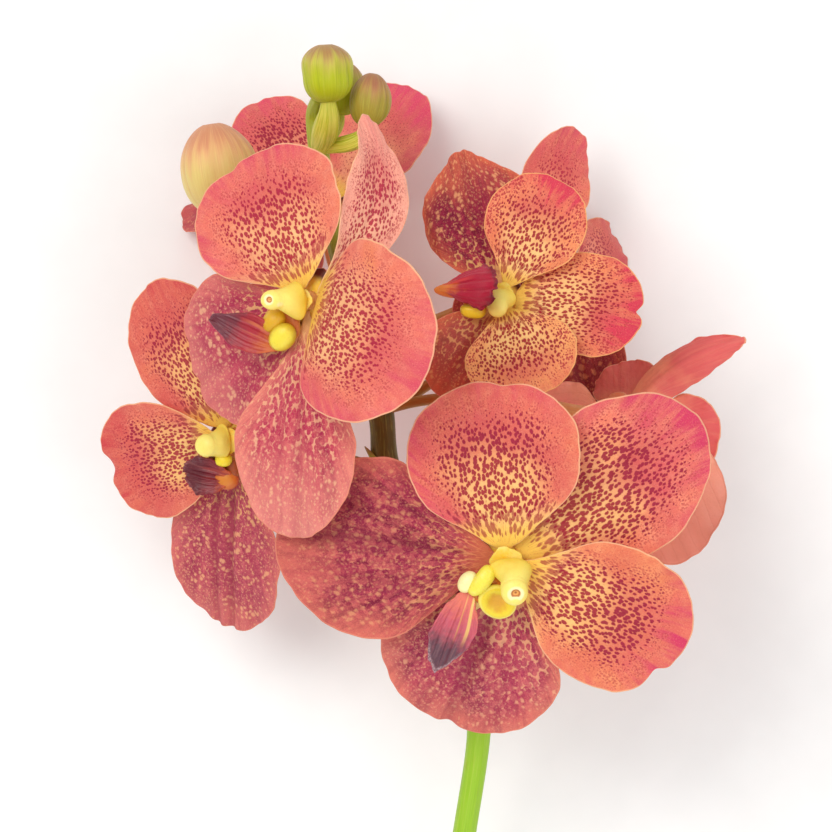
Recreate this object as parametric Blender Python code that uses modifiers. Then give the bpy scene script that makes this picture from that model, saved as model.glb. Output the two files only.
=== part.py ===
"""Cut vanda orchid spray, lying on its side.

One green rachis carries seven open blooms and four buds. It lies along +Y: the cut end points to -Y, the
buds to +Y, and the blooms face up (+Z). The origin is on the surface it lies on, under the middle of its
outline. Lengths in the tables are millimetres and angles are degrees; the meshes are made in metres.
"""
import math

import bmesh
import bpy
import numpy as np
from mathutils import Matrix, Vector

OBJECT_NAME = "cut_vanda_orchid"
MM = 0.001
BLADE_THICKNESS = 0.72
LIP_THICKNESS = 1.3
STALK_RADIUS = 1.25
OVARY_SWELL = 0.5
RECEPTACLE_RADIUS = 2.1
STALK_STEPS = 9
BUD_STALK_STEPS = 6
SEPAL_HEIGHT = -2.7
PETAL_HEIGHT = -1.1
BASE_RADIUS = 2.5
MERGE = 0.000004
SPINE_STEPS = 240
# Moves the whole spray, so that the middle of its outline and its lowest point are at the origin's place.
SHIFT = (0.05, 0.1, 0.07)

# The rachis, from the cut end to the tip: x, y, z of its centre line and its radius.
RACHIS = (
    (1.0, -130.0, 3.05, 3.05),
    (3.0, -112.0, 5.0, 2.85),
    (6.0, -86.0, 14.0, 2.75),
    (9.8, -56.0, 29.0, 2.75),
    (13.2, -30.0, 40.0, 2.7),
    (12.6, -12.0, 45.5, 2.7),
    (7.5, 4.0, 48.0, 2.7),
    (-1.5, 19.0, 49.5, 2.8),
    (-8.3, 33.0, 50.0, 2.9),
    (-9.8, 46.0, 50.0, 2.9),
    (-14.0, 61.0, 50.0, 2.6),
    (-18.0, 77.0, 50.0, 2.4),
    (-21.6, 92.0, 50.5, 2.2),
    (-24.0, 106.0, 51.0, 2.2),
    (-25.0, 114.5, 51.0, 2.1),
)

# One blade, before a bloom's own values. angle turns clockwise from the dorsal direction, seen from the
# front; pitch lifts the blade towards the viewer; roll turns it about its own length, and twist adds to that
# turn on the way to the tip; bend and hook curve it back along its length; cup rolls its sides forward;
# sweep bows it sideways in its own plane; fold turns one side back past fold_from.
BLADE = dict(
    angle=0.0, pitch=0.0, roll=0.0, twist=0.0, length=44.0, width=34.0, claw=0.3, claw_end=0.45, widest=0.8,
    point=0.0, bend=15.0, hook=0.0, cup=14.0, cup_tip=6.0, sweep=0.0, groove=0.5, ruffle=0.5, waves=5.0,
    phase=0.4, lobe=0.006, nick=0.0, nick_at=0.0, nick_wide=0.16, fold=0.0, fold_side=1.0, fold_from=0.5,
)
DORSAL = dict(angle=0.0, pitch=8.0, length=46.0, width=33.0, claw=0.34, point=0.12)
PETAL = dict(pitch=12.0, length=41.0, width=38.0, claw=0.16, claw_end=0.42, widest=0.78, groove=0.3)
LATERAL = dict(pitch=2.0, length=48.0, width=40.0, claw=0.3, widest=0.82, point=0.08, bend=18.0)
KINDS = (
    ("dorsal_sepal", DORSAL, 0.0, SEPAL_HEIGHT),
    ("petal_left", PETAL, -62.0, PETAL_HEIGHT),
    ("petal_right", PETAL, 62.0, PETAL_HEIGHT),
    ("lateral_sepal_left", LATERAL, -136.0, SEPAL_HEIGHT),
    ("lateral_sepal_right", LATERAL, 136.0, SEPAL_HEIGHT),
)

# Each bloom: where its receptacle ends, which way it faces, which way its dorsal sepal points, the same two
# for its lip and, where it leans another way, its column, the size of its lip and column, the rachis point
# and direction where its stalk leaves, how finely its blades are divided, and its own blade, lip, spur and
# foot values.
BLOOMS = (
    dict(
        name="bloom_1", centre=(18.8, 12.4, 88.0), face=(-0.1, -0.26, 0.96), dorsal=(0.82, 0.57, 0.1),
        lip_face=(0.0, -0.25, 0.95), lip_way=(-0.58, -0.81, -0.1), size=1.0, node=7,
        column_face=(0.06, -0.62, 0.78), column_way=(0.1, -1.0, 0.0), leave=(0.5, 0.2, 0.6), cells=8,
        dorsal_sepal=dict(angle=-1.0, length=50.5, width=36.5, claw=0.9, pitch=-6.0, bend=12.0,
            point=0.1),
        petal_left=dict(angle=-62.0, length=38.5, width=39.0, claw=0.6, claw_end=0.32, pitch=2.0,
            nick=0.07, nick_at=0.2),
        petal_right=dict(angle=62.0, length=42.0, width=34.0, claw=0.55, claw_end=0.36, pitch=6.0,
            nick=0.12, nick_at=0.5),
        lateral_sepal_left=dict(angle=-142.5, length=51.0, width=42.0, claw=0.45, pitch=3.0, sweep=4.0,
            roll=-4.0),
        lateral_sepal_right=dict(angle=144.0, length=46.5, width=42.5, claw=0.7, pitch=-10.0,
            bend=14.0, roll=-3.0),
        lip=dict(pitch=8.0, bend=26.0, length=21.0, width=12.5, angle=-17.0, at=(3.4, 10.0, 0.2), point=0.2),
    ),
    dict(
        name="bloom_2", centre=(-26.4, 70.9, 88.0), face=(-0.45, 0.0, 0.89), dorsal=(0.35, 0.93, 0.18),
        lip_face=(-0.42, -0.15, 0.88), lip_way=(-0.69, -0.73, -0.4), size=1.0, node=9,
        column_face=(-0.76, -0.13, 0.63), column_way=(-1.0, -0.1, 0.0), foot=0.62, leave=(-0.3, 0.3, 0.8),
        cells=8,
        dorsal_sepal=dict(angle=30.5, length=46.5, width=19.0, roll=-60.0, pitch=-9.6, sweep=-88.0,
            point=0.5, claw=0.6),
        petal_left=dict(angle=-46.0, length=33.0, width=38.5, pitch=10.0, nick=0.06, nick_at=-0.3,
            claw=0.6, claw_end=0.34),
        petal_right=dict(angle=88.0, length=42.0, width=40.0, pitch=50.0, bend=62.0, claw=0.5,
            claw_end=0.3, widest=0.95),
        lateral_sepal_left=dict(angle=-140.0, length=40.0, width=36.0, claw=0.5, pitch=-9.0),
        lateral_sepal_right=dict(angle=161.5, length=51.0, width=32.0, point=0.14, claw=0.35,
            claw_end=0.62, widest=0.68, pitch=6.0, bend=12.0),
        lip=dict(length=19.0, width=11.5, pitch=14.0, bend=10.0, angle=70.0, at=(-4.2, 10.8, 0.5)),
    ),
    dict(
        name="bloom_3", centre=(18.0, 72.5, 64.0), face=(-0.1, 0.28, 0.95), dorsal=(0.99, -0.1, 0.1),
        lip_face=(-0.1, 0.1, 0.98), lip_way=(-0.99, 0.05, -0.1), size=0.8, node=9,
        column_face=(-0.16, -0.3, 0.94), column_way=(-0.1, -1.0, 0.0), leave=(0.7, 0.3, 0.0), cells=8,
        dorsal_sepal=dict(angle=0.0, length=30.4, width=25.0, claw=0.9, nick=0.16, nick_at=0.0,
            nick_wide=0.12, point=0.0),
        petal_left=dict(angle=-70.0, length=28.0, width=23.5, pitch=18.0, claw=0.45, nick=0.04),
        petal_right=dict(angle=66.0, length=25.0, width=26.0, pitch=20.0, claw=0.5),
        lateral_sepal_left=dict(angle=-112.0, length=37.5, width=31.0, claw=0.8, point=0.56, fold=60.0,
            fold_side=-1.0, fold_from=0.7, widest=0.72),
        lateral_sepal_right=dict(angle=117.0, length=24.0, width=21.0, claw=0.7),
        lip=dict(length=23.0, width=14.0, pitch=144.0, bend=10.0, at=(1.2, 17.6, 1.3), claw=0.34,
            claw_end=0.7, point=0.0),
        spur=dict(at=(0.8, 12.2, 0.3), half=(2.2, 7.2, 1.9)),
    ),
    dict(
        name="bloom_4", centre=(-45.0, 39.5, 55.0), face=(-0.45, -0.3, 0.84),
        dorsal=(-0.54, 0.84, 0.1), lip_face=(-0.3, -0.2, 0.93), lip_way=(-0.2, -0.98, -0.3), size=0.9,
        column_face=(-0.72, -0.05, 0.7), column_way=(-1.0, -0.1, 0.0), node=8, leave=(-0.8, 0.1, 0.1),
        cells=6,
        dorsal_sepal=dict(angle=4.0, length=38.0, width=29.0, claw=0.9),
        petal_left=dict(angle=-77.0, length=33.0, width=28.5, nick=0.16, nick_at=0.0, nick_wide=0.2,
            claw=0.72, claw_end=0.38, pitch=9.0),
        petal_right=dict(angle=82.0, length=25.0, width=19.0, pitch=-2.0),
        lateral_sepal_left=dict(angle=-139.5, length=49.5, width=30.0, claw=0.6, widest=0.72),
        lateral_sepal_right=dict(angle=140.0, length=25.0, width=22.0, pitch=-18.0, phase=0.4),
        lip=dict(length=14.0, width=11.5, angle=86.0, at=(-3.6, 9.6, 0.8), pitch=16.0),
    ),
    dict(
        name="bloom_5", centre=(48.6, 44.0, 37.0), face=(0.45, 0.0, -0.89), dorsal=(0.81, 0.59, 0.41),
        lip_face=(0.45, 0.0, -0.89), lip_way=(-0.81, -0.59, -0.41), size=0.9,
        node=9, leave=(0.9, 0.35, 0.3), cells=6,
        dorsal_sepal=dict(angle=20.0, sweep=-42.0, length=33.0, width=12.6, cup=80.0, cup_tip=60.0,
            point=0.5, claw=0.9, bend=-6.0),
        petal_left=dict(angle=-52.0, length=20.2, width=21.0, pitch=30.0),
        petal_right=dict(angle=70.0, length=13.0, width=17.0, pitch=32.0),
        lateral_sepal_left=dict(angle=-91.0, length=35.0, width=30.0),
        lateral_sepal_right=dict(angle=146.0, length=20.0, width=18.0, pitch=-5.0),
        lip=dict(),
    ),
    dict(
        name="bloom_6", centre=(-23.0, 96.0, 25.0), face=(0.05, 0.5, 0.86), dorsal=(0.8, 0.45, -0.3),
        lip_face=(0.05, 0.5, 0.86), lip_way=(-0.8, -0.45, 0.3), size=0.8,
        node=10, leave=(0.0, -0.2, -0.9), cells=6,
        dorsal_sepal=dict(angle=-23.0, length=37.0, width=24.0, pitch=14.0),
        petal_left=dict(angle=-90.0, length=30.0, width=23.0, pitch=14.0),
        petal_right=dict(angle=66.0, length=17.0, width=18.0),
        lateral_sepal_left=dict(angle=-129.0, length=40.0, width=18.0, pitch=-23.0, phase=0.4,
            lobe=0.015),
        lateral_sepal_right=dict(angle=160.0, length=24.0, width=18.0, pitch=-10.0),
        lip=dict(),
    ),
    dict(
        name="bloom_7", centre=(33.0, 80.0, 27.0), face=(0.25, 0.1, 0.96), dorsal=(-0.1, 1.0, -0.1),
        lip_face=(0.25, 0.1, 0.96), lip_way=(0.1, -1.0, 0.1), size=0.8,
        node=10, leave=(0.5, 0.2, -0.8), cells=6,
        dorsal_sepal=dict(angle=-10.0, length=34.0, width=18.0, point=0.25, sweep=54.0),
        petal_left=dict(angle=-62.0, length=24.0, width=23.0),
        petal_right=dict(angle=77.0, length=29.0, width=20.0, pitch=-36.0),
        lateral_sepal_left=dict(angle=-118.0, length=26.0, width=22.0),
        lateral_sepal_right=dict(angle=172.0, length=36.0, width=24.0),
        lip=dict(),
    ),
)

# The lip's tongue is a thick trough, in the same terms as a blade. at is where its base sits: across, along
# the lip's direction from the bloom's axis, and forward.
LIP = dict(
    angle=0.0, pitch=38.0, length=17.0, width=10.5, claw=0.62, claw_end=0.5, widest=0.9, point=0.35,
    bend=38.0, hook=0.0, cup=62.0, cup_tip=40.0, groove=0.0, ruffle=0.25, lobe=0.03, at=(0.0, 6.2, 0.9),
)
# The lip's parts beside the tongue: ears, throat and spur, as ellipsoids: x across, y along the lip's
# direction from the bloom's axis, z forward, three half-axes, and a lean away from the axis.
EAR = dict(at=(3.8, 8.0, 1.7), half=(2.2, 4.2, 2.4), lean=24.0)
THROAT = dict(at=(0.0, 7.6, 0.2), half=(4.6, 3.9, 1.5))
SPUR = dict(at=(0.0, 9.6, -0.9), half=(1.8, 4.6, 1.3))
# The column: a short stout tube along the bloom's axis that leans over the lip, with a cap at its end.
COLUMN = (
    (0.0, 0.0, 0.1, 0.9),
    (0.0, 0.0, 1.5, 3.2),
    (0.0, 0.1, 3.0, 3.5),
    (0.0, 0.4, 5.2, 2.9),
    (0.0, 1.0, 7.2, 2.75),
)
CAP = dict(at=(0.0, 1.5, 8.6), half=(3.0, 2.9, 2.2))
# The column's foot: a low dome over the receptacle, in the bloom's own directions.
FOOT = dict(at=(0.0, 0.0, 0.7), half=(3.9, 3.9, 0.9))

# Bracts: small pointed scales that clasp the rachis at its nodes. Each one's place along the rachis, counted
# in the points of its table, and the angle round it from +X towards +Z.
BRACT = dict(length=7.5, width=5.6, thick=1.2, lean=16.0)
BRACTS = (
    (2.57, 42.0), (4.31, 213.0), (7.07, 8.0), (8.11, 163.0),
    (9.13, 47.0), (10.27, 251.0), (12.1, 171.0), (13.17, 24.0),
)

# Each bud: the middle of its base, the way it points, its length and greatest width, its rib depth, where its
# stalk leaves the rachis and its stalk's radius.
BUDS = (
    dict(
        name="bud_tip", base=(-21.6, 116.8, 62.0), to=(-0.06, 1.0, 0.1), length=13.6, width=11.8,
        ribs=0.05, node=13, stalk=2.6,
    ),
    dict(
        name="bud_end", base=(-19.0, 115.0, 49.0), to=(0.1, 1.0, 0.0), length=12.5, width=9.5,
        ribs=0.05, node=13, stalk=1.3,
    ),
    dict(
        name="bud_olive", base=(-13.1, 111.7, 57.0), to=(0.14, 0.98, 0.0), length=12.6, width=9.2,
        ribs=0.05, node=13, stalk=1.7,
    ),
    dict(
        name="bud_cream", base=(-45.3, 91.0, 62.0), to=(-0.15, 1.0, 0.1), length=21.5, width=17.0,
        ribs=0.04, node=12, stalk=1.5,
    ),
)


def smooth(x):
    """Smoothstep from 0 to 1."""
    x = np.clip(x, 0.0, 1.0)
    return x * x * (3.0 - 2.0 * x)


def unit(v):
    """A vector of length 1 along v."""
    v = np.asarray(v, float)
    return v / np.linalg.norm(v)


def bloom_axes(bloom):
    """The bloom's right, dorsal and forward directions, as seen by someone that it faces."""
    forward = unit(bloom["face"])
    dorsal = np.asarray(bloom["dorsal"], float)
    dorsal = unit(dorsal - forward * dorsal.dot(forward))
    return np.cross(dorsal, forward), dorsal, forward


def disc(s, t):
    """The place on the unit disc of a point of the square from -1 to 1."""
    return s * np.sqrt(1.0 - t * t / 2.0), t * np.sqrt(1.0 - s * s / 2.0)


def blade_outline(b, u, v):
    """Across and along coordinates of the flat blade for a point of the unit disc, and its polar place there.

    The disc's rim gets lobes and one nick; the disc is stretched to the blade's length and width, narrowed to
    a claw at its base and drawn in towards its tip.
    """
    rho = np.hypot(u, v)
    psi = np.arctan2(u, v)
    away = smooth((v + 1.0) / 0.7)
    rim = 1.0 + b["lobe"] * np.sin(b["waves"] * 1.7 * psi + 2.0 * b["phase"]) * rho ** 3 * away
    rim = rim - b["nick"] * np.exp(-(((psi - b["nick_at"]) / b["nick_wide"]) ** 2)) * rho ** 5
    u = u * rim
    v = v * rim
    along = np.clip((v + 1.0) / 2.0, 0.0, 2.0) ** b["widest"]
    narrow = b["claw"] + (1.0 - b["claw"]) * smooth(along / b["claw_end"])
    narrow = narrow * (1.0 - b["point"] * smooth((along - 0.45) / 0.55))
    return u * narrow, along, rho, psi


def blade_surface(b, u, v):
    """Points of the blade's middle surface in millimetres, in its own frame, for points of the unit disc.

    x is across, y along and z forward. The middle line bends and sweeps; the sides are arcs of a circle
    across it, one side may fold back, a groove runs along the middle, and the margin is ruffled.
    """
    u, along, rho, psi = blade_outline(b, u, v)
    steps = np.linspace(0.0, 1.3, SPINE_STEPS)
    drop = np.radians(b["bend"]) * steps + np.radians(b["hook"]) * steps ** 4
    turn = np.radians(b["sweep"]) * steps
    tangent = np.stack([np.sin(turn) * np.cos(drop), np.cos(turn) * np.cos(drop), -np.sin(drop)])
    path = np.cumsum(tangent, axis=1) * (steps[1] * b["length"])
    path = path - path[:, :1]
    spine = np.stack([np.interp(along, steps, path[k]) for k in range(3)])
    drop = np.interp(along, steps, drop)
    turn = np.interp(along, steps, turn)
    across = np.stack([np.cos(turn), -np.sin(turn), np.zeros_like(turn)])
    tangent = np.stack([np.sin(turn) * np.cos(drop), np.cos(turn) * np.cos(drop), -np.sin(drop)])
    normal = np.cross(across, tangent, axis=0)
    tilt = np.radians(b["roll"] + b["twist"] * along)
    side = across * np.cos(tilt) + normal * np.sin(tilt)
    normal = normal * np.cos(tilt) - across * np.sin(tilt)
    half = b["width"] / 2.0
    cup = np.radians(b["cup"] + (b["cup_tip"] - b["cup"]) * along)
    cup = np.where(np.abs(cup) < 0.001, 0.001, cup)
    x = half * np.sin(cup * u) / cup
    z = half * (1.0 - np.cos(cup * u)) / cup
    past = np.clip(b["fold_side"] * u - b["fold_from"], 0.0, 1.0) * half
    x = x - b["fold_side"] * past * (1.0 - math.cos(math.radians(b["fold"])))
    z = z - past * math.sin(math.radians(b["fold"]))
    z = z - b["groove"] * np.exp(-((u / 0.1) ** 2)) * smooth(along / 0.2) * (1.0 - 0.6 * along)
    z = z + b["ruffle"] * rho ** 4 * np.sin(b["waves"] * psi + b["phase"]) * smooth(along / 0.3)
    return np.moveaxis(spine + side * x + normal * z, 0, -1)


def side_axes(face, way):
    """Right, way and forward directions from a forward direction and a rough way across it."""
    forward = unit(face)
    way = np.asarray(way, float)
    way = unit(way - forward * way.dot(forward))
    return np.cross(way, forward), way, forward


def lip_axes(bloom):
    """The right, lip and forward directions of the bloom's lip."""
    return side_axes(bloom["lip_face"], bloom["lip_way"])


def column_axes(bloom):
    """The same for its column, which leans in its own direction on the open blooms in front."""
    face = bloom.get("column_face", bloom["lip_face"])
    return side_axes(face, bloom.get("column_way", bloom["lip_way"]))


def blade_frame(bloom, axes, b, radius, height):
    """The blade's origin, in metres, and its across, along and forward directions."""
    right, dorsal, forward = axes
    angle = math.radians(b["angle"])
    pitch = math.radians(b["pitch"])
    radial = right * math.sin(angle) + dorsal * math.cos(angle)
    along = radial * math.cos(pitch) + forward * math.sin(pitch)
    normal = forward * math.cos(pitch) - radial * math.sin(pitch)
    origin = (np.asarray(bloom["centre"], float) + radial * radius + forward * height) * MM
    return origin, np.cross(along, normal), along, normal


def frame_matrix(origin, x_axis, y_axis, z_axis):
    """A placement matrix from an origin and three directions."""
    matrix = Matrix.Identity(4)
    for row in range(3):
        matrix[row][0] = x_axis[row]
        matrix[row][1] = y_axis[row]
        matrix[row][2] = z_axis[row]
        matrix[row][3] = origin[row]
    return matrix


def lip_frame(bloom, values):
    """The same for the tongue of the bloom's lip."""
    axes = lip_axes(bloom)
    origin, across, along, normal = blade_frame(bloom, axes, values, 0.0, 0.0)
    for step, axis in zip(values["at"], axes):
        origin = origin + axis * (step * bloom["size"] * MM)
    return origin, across, along, normal


def foot_shape(bloom):
    """The place and half-axes of the column's foot; it is narrower where a petal stands up beside it."""
    wide = bloom["size"] * bloom.get("foot", 1.0)
    x, y, z = FOOT["half"]
    return [v * bloom["size"] for v in FOOT["at"]], [x * wide, y * wide, z * bloom["size"]]


def spur_shape(bloom):
    """The place and half-axes of the lip's spur."""
    spur = bloom.get("spur", SPUR)
    return [v * bloom["size"] for v in spur["at"]], [h * bloom["size"] for h in spur["half"]]


def bloom_blades(bloom):
    """Name, values, radius and height of each of the bloom's five blades."""
    found = []
    for name, kind, angle, height in KINDS:
        values = dict(BLADE)
        values.update(kind)
        values["angle"] = angle
        values["phase"] = 0.03 * angle + 7.0 * bloom["size"]
        values.update(bloom[name])
        found.append((name, values, BASE_RADIUS, height))
    return found


def lip_values(bloom):
    """The values of the bloom's lip tongue."""
    values = dict(BLADE)
    values.update(LIP)
    values.update(bloom["lip"])
    for key in ("length", "width"):
        values[key] = values[key] * bloom["size"]
    return values


def new_material(name, colour, roughness):
    """A Principled material of one colour."""
    material = bpy.data.materials.new(name)
    material.use_nodes = True
    shader = material.node_tree.nodes["Principled BSDF"]
    shader.inputs["Base Color"].default_value = (*colour, 1.0)
    shader.inputs["Roughness"].default_value = roughness
    shader.inputs["Metallic"].default_value = 0.0
    return material


def mesh_object(name, bm, collection, matrix=None):
    """An object from a bmesh, linked to the collection."""
    mesh = bpy.data.meshes.new(name)
    bm.to_mesh(mesh)
    bm.free()
    obj = bpy.data.objects.new(name, mesh)
    collection.objects.link(obj)
    if matrix is not None:
        obj.matrix_world = matrix
    return obj


def blade_object(name, b, matrix, cells, thickness, collection):
    """A thin blade: a square grid laid on the blade's surface, made solid by a Solidify modifier."""
    bm = bmesh.new()
    bmesh.ops.create_grid(bm, x_segments=cells, y_segments=cells, size=1.0)
    bm.verts.ensure_lookup_table()
    square = np.array([v.co[:] for v in bm.verts])
    reach = np.hypot(square[:, 0], square[:, 1])
    for face in list(bm.faces):
        verts = list(face.verts)
        outer = max(range(len(verts)), key=lambda k: reach[verts[k].index])
        bmesh.utils.face_split(face, verts[outer], verts[(outer + 2) % 4])
    points = blade_surface(b, *disc(square[:, 0], square[:, 1])) * MM
    for vert, point in zip(bm.verts, points):
        vert.co = point
    bm.normal_update()
    obj = mesh_object(name, bm, collection, matrix)
    obj.data.shade_smooth()
    solid = obj.modifiers.new("thickness", "SOLIDIFY")
    solid.thickness = thickness * MM
    solid.offset = 0.0
    return obj


def ball_object(name, at, half, lean, matrix, collection, segments=8, rings=6):
    """An ellipsoid in the bloom's frame; x is across, y towards the lip, z forward."""
    bm = bmesh.new()
    bmesh.ops.create_uvsphere(bm, u_segments=segments, v_segments=rings, radius=1.0)
    place = Matrix.Translation(Vector(at) * MM) @ Matrix.Rotation(math.radians(lean), 4, "Y")
    scale = Matrix.Diagonal((half[0] * MM, half[1] * MM, half[2] * MM, 1.0))
    bmesh.ops.transform(bm, matrix=place @ scale, verts=bm.verts)
    return mesh_object(name, bm, collection, matrix)


def tube_object(name, points, radii, collection, matrix=None, sides=2):
    """A round tube along the points, as a mesh with welded caps."""
    curve = bpy.data.curves.new(name + "_path", "CURVE")
    curve.dimensions = "3D"
    curve.bevel_depth = 1.0
    curve.bevel_resolution = sides
    curve.use_fill_caps = True
    spline = curve.splines.new("POLY")
    spline.points.add(len(points) - 1)
    for point, (x, y, z), radius in zip(spline.points, points, radii):
        point.co = (x * MM, y * MM, z * MM, 1.0)
        point.radius = radius * MM
    path = bpy.data.objects.new(name + "_path", curve)
    collection.objects.link(path)
    if matrix is not None:
        path.matrix_world = matrix
    bpy.context.view_layer.update()
    graph = bpy.context.evaluated_depsgraph_get()
    mesh = bpy.data.meshes.new_from_object(path.evaluated_get(graph))
    bm = bmesh.new()
    bm.from_mesh(mesh)
    bmesh.ops.remove_doubles(bm, verts=bm.verts, dist=MERGE)
    bmesh.ops.recalc_face_normals(bm, faces=bm.faces)
    bm.to_mesh(mesh)
    bm.free()
    tube = bpy.data.objects.new(name, mesh)
    tube.matrix_world = path.matrix_world
    collection.objects.link(tube)
    bpy.data.objects.remove(path)
    bpy.data.curves.remove(curve)
    return tube


def joined(name, first, others, collection):
    """One solid from several that overlap, by a Boolean union; the others are removed."""
    group = bpy.data.collections.new(name + "_pieces")
    bpy.context.scene.collection.children.link(group)
    for obj in others:
        for old in list(obj.users_collection):
            old.objects.unlink(obj)
        group.objects.link(obj)
    union = first.modifiers.new("union", "BOOLEAN")
    union.operation = "UNION"
    union.operand_type = "COLLECTION"
    union.collection = group
    union.solver = "EXACT"
    bpy.context.view_layer.update()
    graph = bpy.context.evaluated_depsgraph_get()
    mesh = bpy.data.meshes.new_from_object(first.evaluated_get(graph))
    bm = bmesh.new()
    bm.from_mesh(mesh)
    bmesh.ops.remove_doubles(bm, verts=bm.verts, dist=MERGE)
    bmesh.ops.dissolve_degenerate(bm, dist=MERGE, edges=bm.edges)
    bmesh.ops.triangulate(bm, faces=bm.faces)
    bm.to_mesh(mesh)
    bm.free()
    mesh.name = name
    made = bpy.data.objects.new(name, mesh)
    made.matrix_world = first.matrix_world
    collection.objects.link(made)
    for obj in list(group.objects):
        bpy.data.objects.remove(obj)
    bpy.data.objects.remove(first)
    bpy.data.collections.remove(group)
    return made


def bezier(points, steps):
    """Points along a cubic curve with four control points."""
    a, b, c, d = (np.asarray(p, float) for p in points)
    found = []
    for k in range(steps + 1):
        t = k / steps
        w = 1.0 - t
        found.append(w ** 3 * a + 3 * w * w * t * b + 3 * w * t * t * c + t ** 3 * d)
    return found


def stalk_path(bloom, steps):
    """The flower stalk: it leaves the rachis at its node and comes up behind the bloom along its axis."""
    start = np.asarray(RACHIS[bloom["node"]][:3])
    forward = unit(bloom["face"])
    end = np.asarray(bloom["centre"], float) + forward * -0.6
    reach = float(np.linalg.norm(end - start))
    leave = unit(bloom["leave"])
    return bezier((start, start + leave * reach * 0.4, end - forward * reach * 0.42, end), steps)


def stalk_radius(t):
    """A stalk's radius at t from 0 to 1: slender at the rachis, a thicker ovary, and an even receptacle."""
    ovary = STALK_RADIUS + OVARY_SWELL * smooth((t - 0.35) / 0.4)
    return ovary + (RECEPTACLE_RADIUS - STALK_RADIUS - OVARY_SWELL) * smooth((t - 0.7) / 0.2)


def bud_stalk_path(bud, steps):
    """A bud's stalk: it leaves the rachis forward and upward and ends at the bud's base."""
    start = np.asarray(RACHIS[bud["node"]][:3])
    way = unit(bud["to"])
    end = np.asarray(bud["base"], float) - way * 0.3
    reach = float(np.linalg.norm(end - start))
    leave = np.array([0.0, 0.5, 0.6])
    return bezier((start, start + leave * reach * 0.4, end - way * reach * 0.4, end), steps)


def bract_place(at, turn):
    """Where a bract sits: the rachis point, the rachis direction, the direction away from it, the radius."""
    line = np.array(RACHIS)
    k = int(at)
    centre = line[k] + (line[k + 1] - line[k]) * (at - k)
    along = unit(line[k + 1][:3] - line[k][:3])
    away = np.array([math.cos(math.radians(turn)), 0.0, math.sin(math.radians(turn))])
    away = unit(away - along * along.dot(away))
    return centre[:3], along, away, centre[3]


def bract_object(name, place, collection):
    """A bract: a flat pointed scale that starts inside the rachis and leans away from it."""
    centre, along, away, radius = place
    side = np.cross(along, away)
    bm = bmesh.new()
    bmesh.ops.create_uvsphere(bm, u_segments=8, v_segments=6, radius=1.0)
    lean = math.tan(math.radians(BRACT["lean"]))
    for vert in bm.verts:
        x, y, z = vert.co
        y = 0.5 + 0.5 * z
        wide = 1.0 - 0.35 * y
        across = x * 0.5 * BRACT["width"] * wide
        up = radius - 0.35 + vert.co.y * 0.5 * BRACT["thick"] + lean * BRACT["length"] * y * y
        up = up - across * across / (2.4 * radius)
        point = centre + along * (BRACT["length"] * (y - 0.45)) + side * across + away * up
        vert.co = Vector(point) * MM
    bmesh.ops.recalc_face_normals(bm, faces=bm.faces)
    return mesh_object(name, bm, collection)


def build_stem(collection):
    """The rachis with its bracts, the stalks of the blooms and buds, as one solid."""
    rachis = tube_object("rachis", [p[:3] for p in RACHIS], [p[3] for p in RACHIS], collection)
    others = []
    radii = [float(stalk_radius(k / STALK_STEPS)) for k in range(STALK_STEPS + 1)]
    for bloom in BLOOMS:
        path = stalk_path(bloom, STALK_STEPS)
        others.append(tube_object(bloom["name"] + "_stalk", path, radii, collection))
    for bud in BUDS:
        path = bud_stalk_path(bud, BUD_STALK_STEPS)
        radii = [bud["stalk"] * (0.8 + 0.25 * k / BUD_STALK_STEPS) for k in range(BUD_STALK_STEPS + 1)]
        others.append(tube_object(bud["name"] + "_stalk", path, radii, collection))
    for at, turn in BRACTS:
        others.append(bract_object("bract", bract_place(at, turn), collection))
    return joined("stem", rachis, others, collection)


def bud_matrix(bud):
    """The bud's frame: z along the bud, from its base."""
    way = unit(bud["to"])
    side = unit(np.cross(way, (0.0, 0.0, 1.0)))
    return frame_matrix(np.asarray(bud["base"], float) * MM, side, np.cross(way, side), way)


def bud_surface(bud, azimuth, height):
    """Points of a bud in millimetres: an egg with three folded sepals, for azimuth and height from 0 to 1."""
    width = bud["width"] / 2.0
    body = (1.0 - np.abs(2.0 * height ** 0.9 - 1.0) ** 2.4) ** 0.5 * (0.93 + 0.12 * np.sin(np.pi * height))
    ribs = 1.0 + bud["ribs"] * np.cos(3.0 * azimuth) * np.sin(np.pi * height)
    ribs = ribs + 0.4 * bud["ribs"] * np.cos(6.0 * azimuth + 0.7) * np.sin(np.pi * height) ** 2
    radius = width * body * ribs
    return np.stack([radius * np.cos(azimuth), radius * np.sin(azimuth), bud["length"] * height], axis=-1)


def build_bud(bud, collection):
    """A closed bud: a sphere whose points are moved onto the bud's surface."""
    bm = bmesh.new()
    bmesh.ops.create_uvsphere(bm, u_segments=12, v_segments=9, radius=1.0)
    for vert in bm.verts:
        azimuth = math.atan2(vert.co.y, vert.co.x)
        height = math.acos(max(-1.0, min(1.0, -vert.co.z))) / math.pi
        vert.co = bud_surface(bud, np.float64(azimuth), np.float64(height)) * MM
    bmesh.ops.triangulate(bm, faces=bm.faces)
    obj = mesh_object(bud["name"], bm, collection, bud_matrix(bud))
    obj.data.shade_smooth()
    return obj


def side_matrix(bloom, axes):
    """The frame of the bloom's column or lip: x across, y towards the lip, z forward."""
    return frame_matrix(np.asarray(bloom["centre"], float) * MM, *axes)


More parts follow.
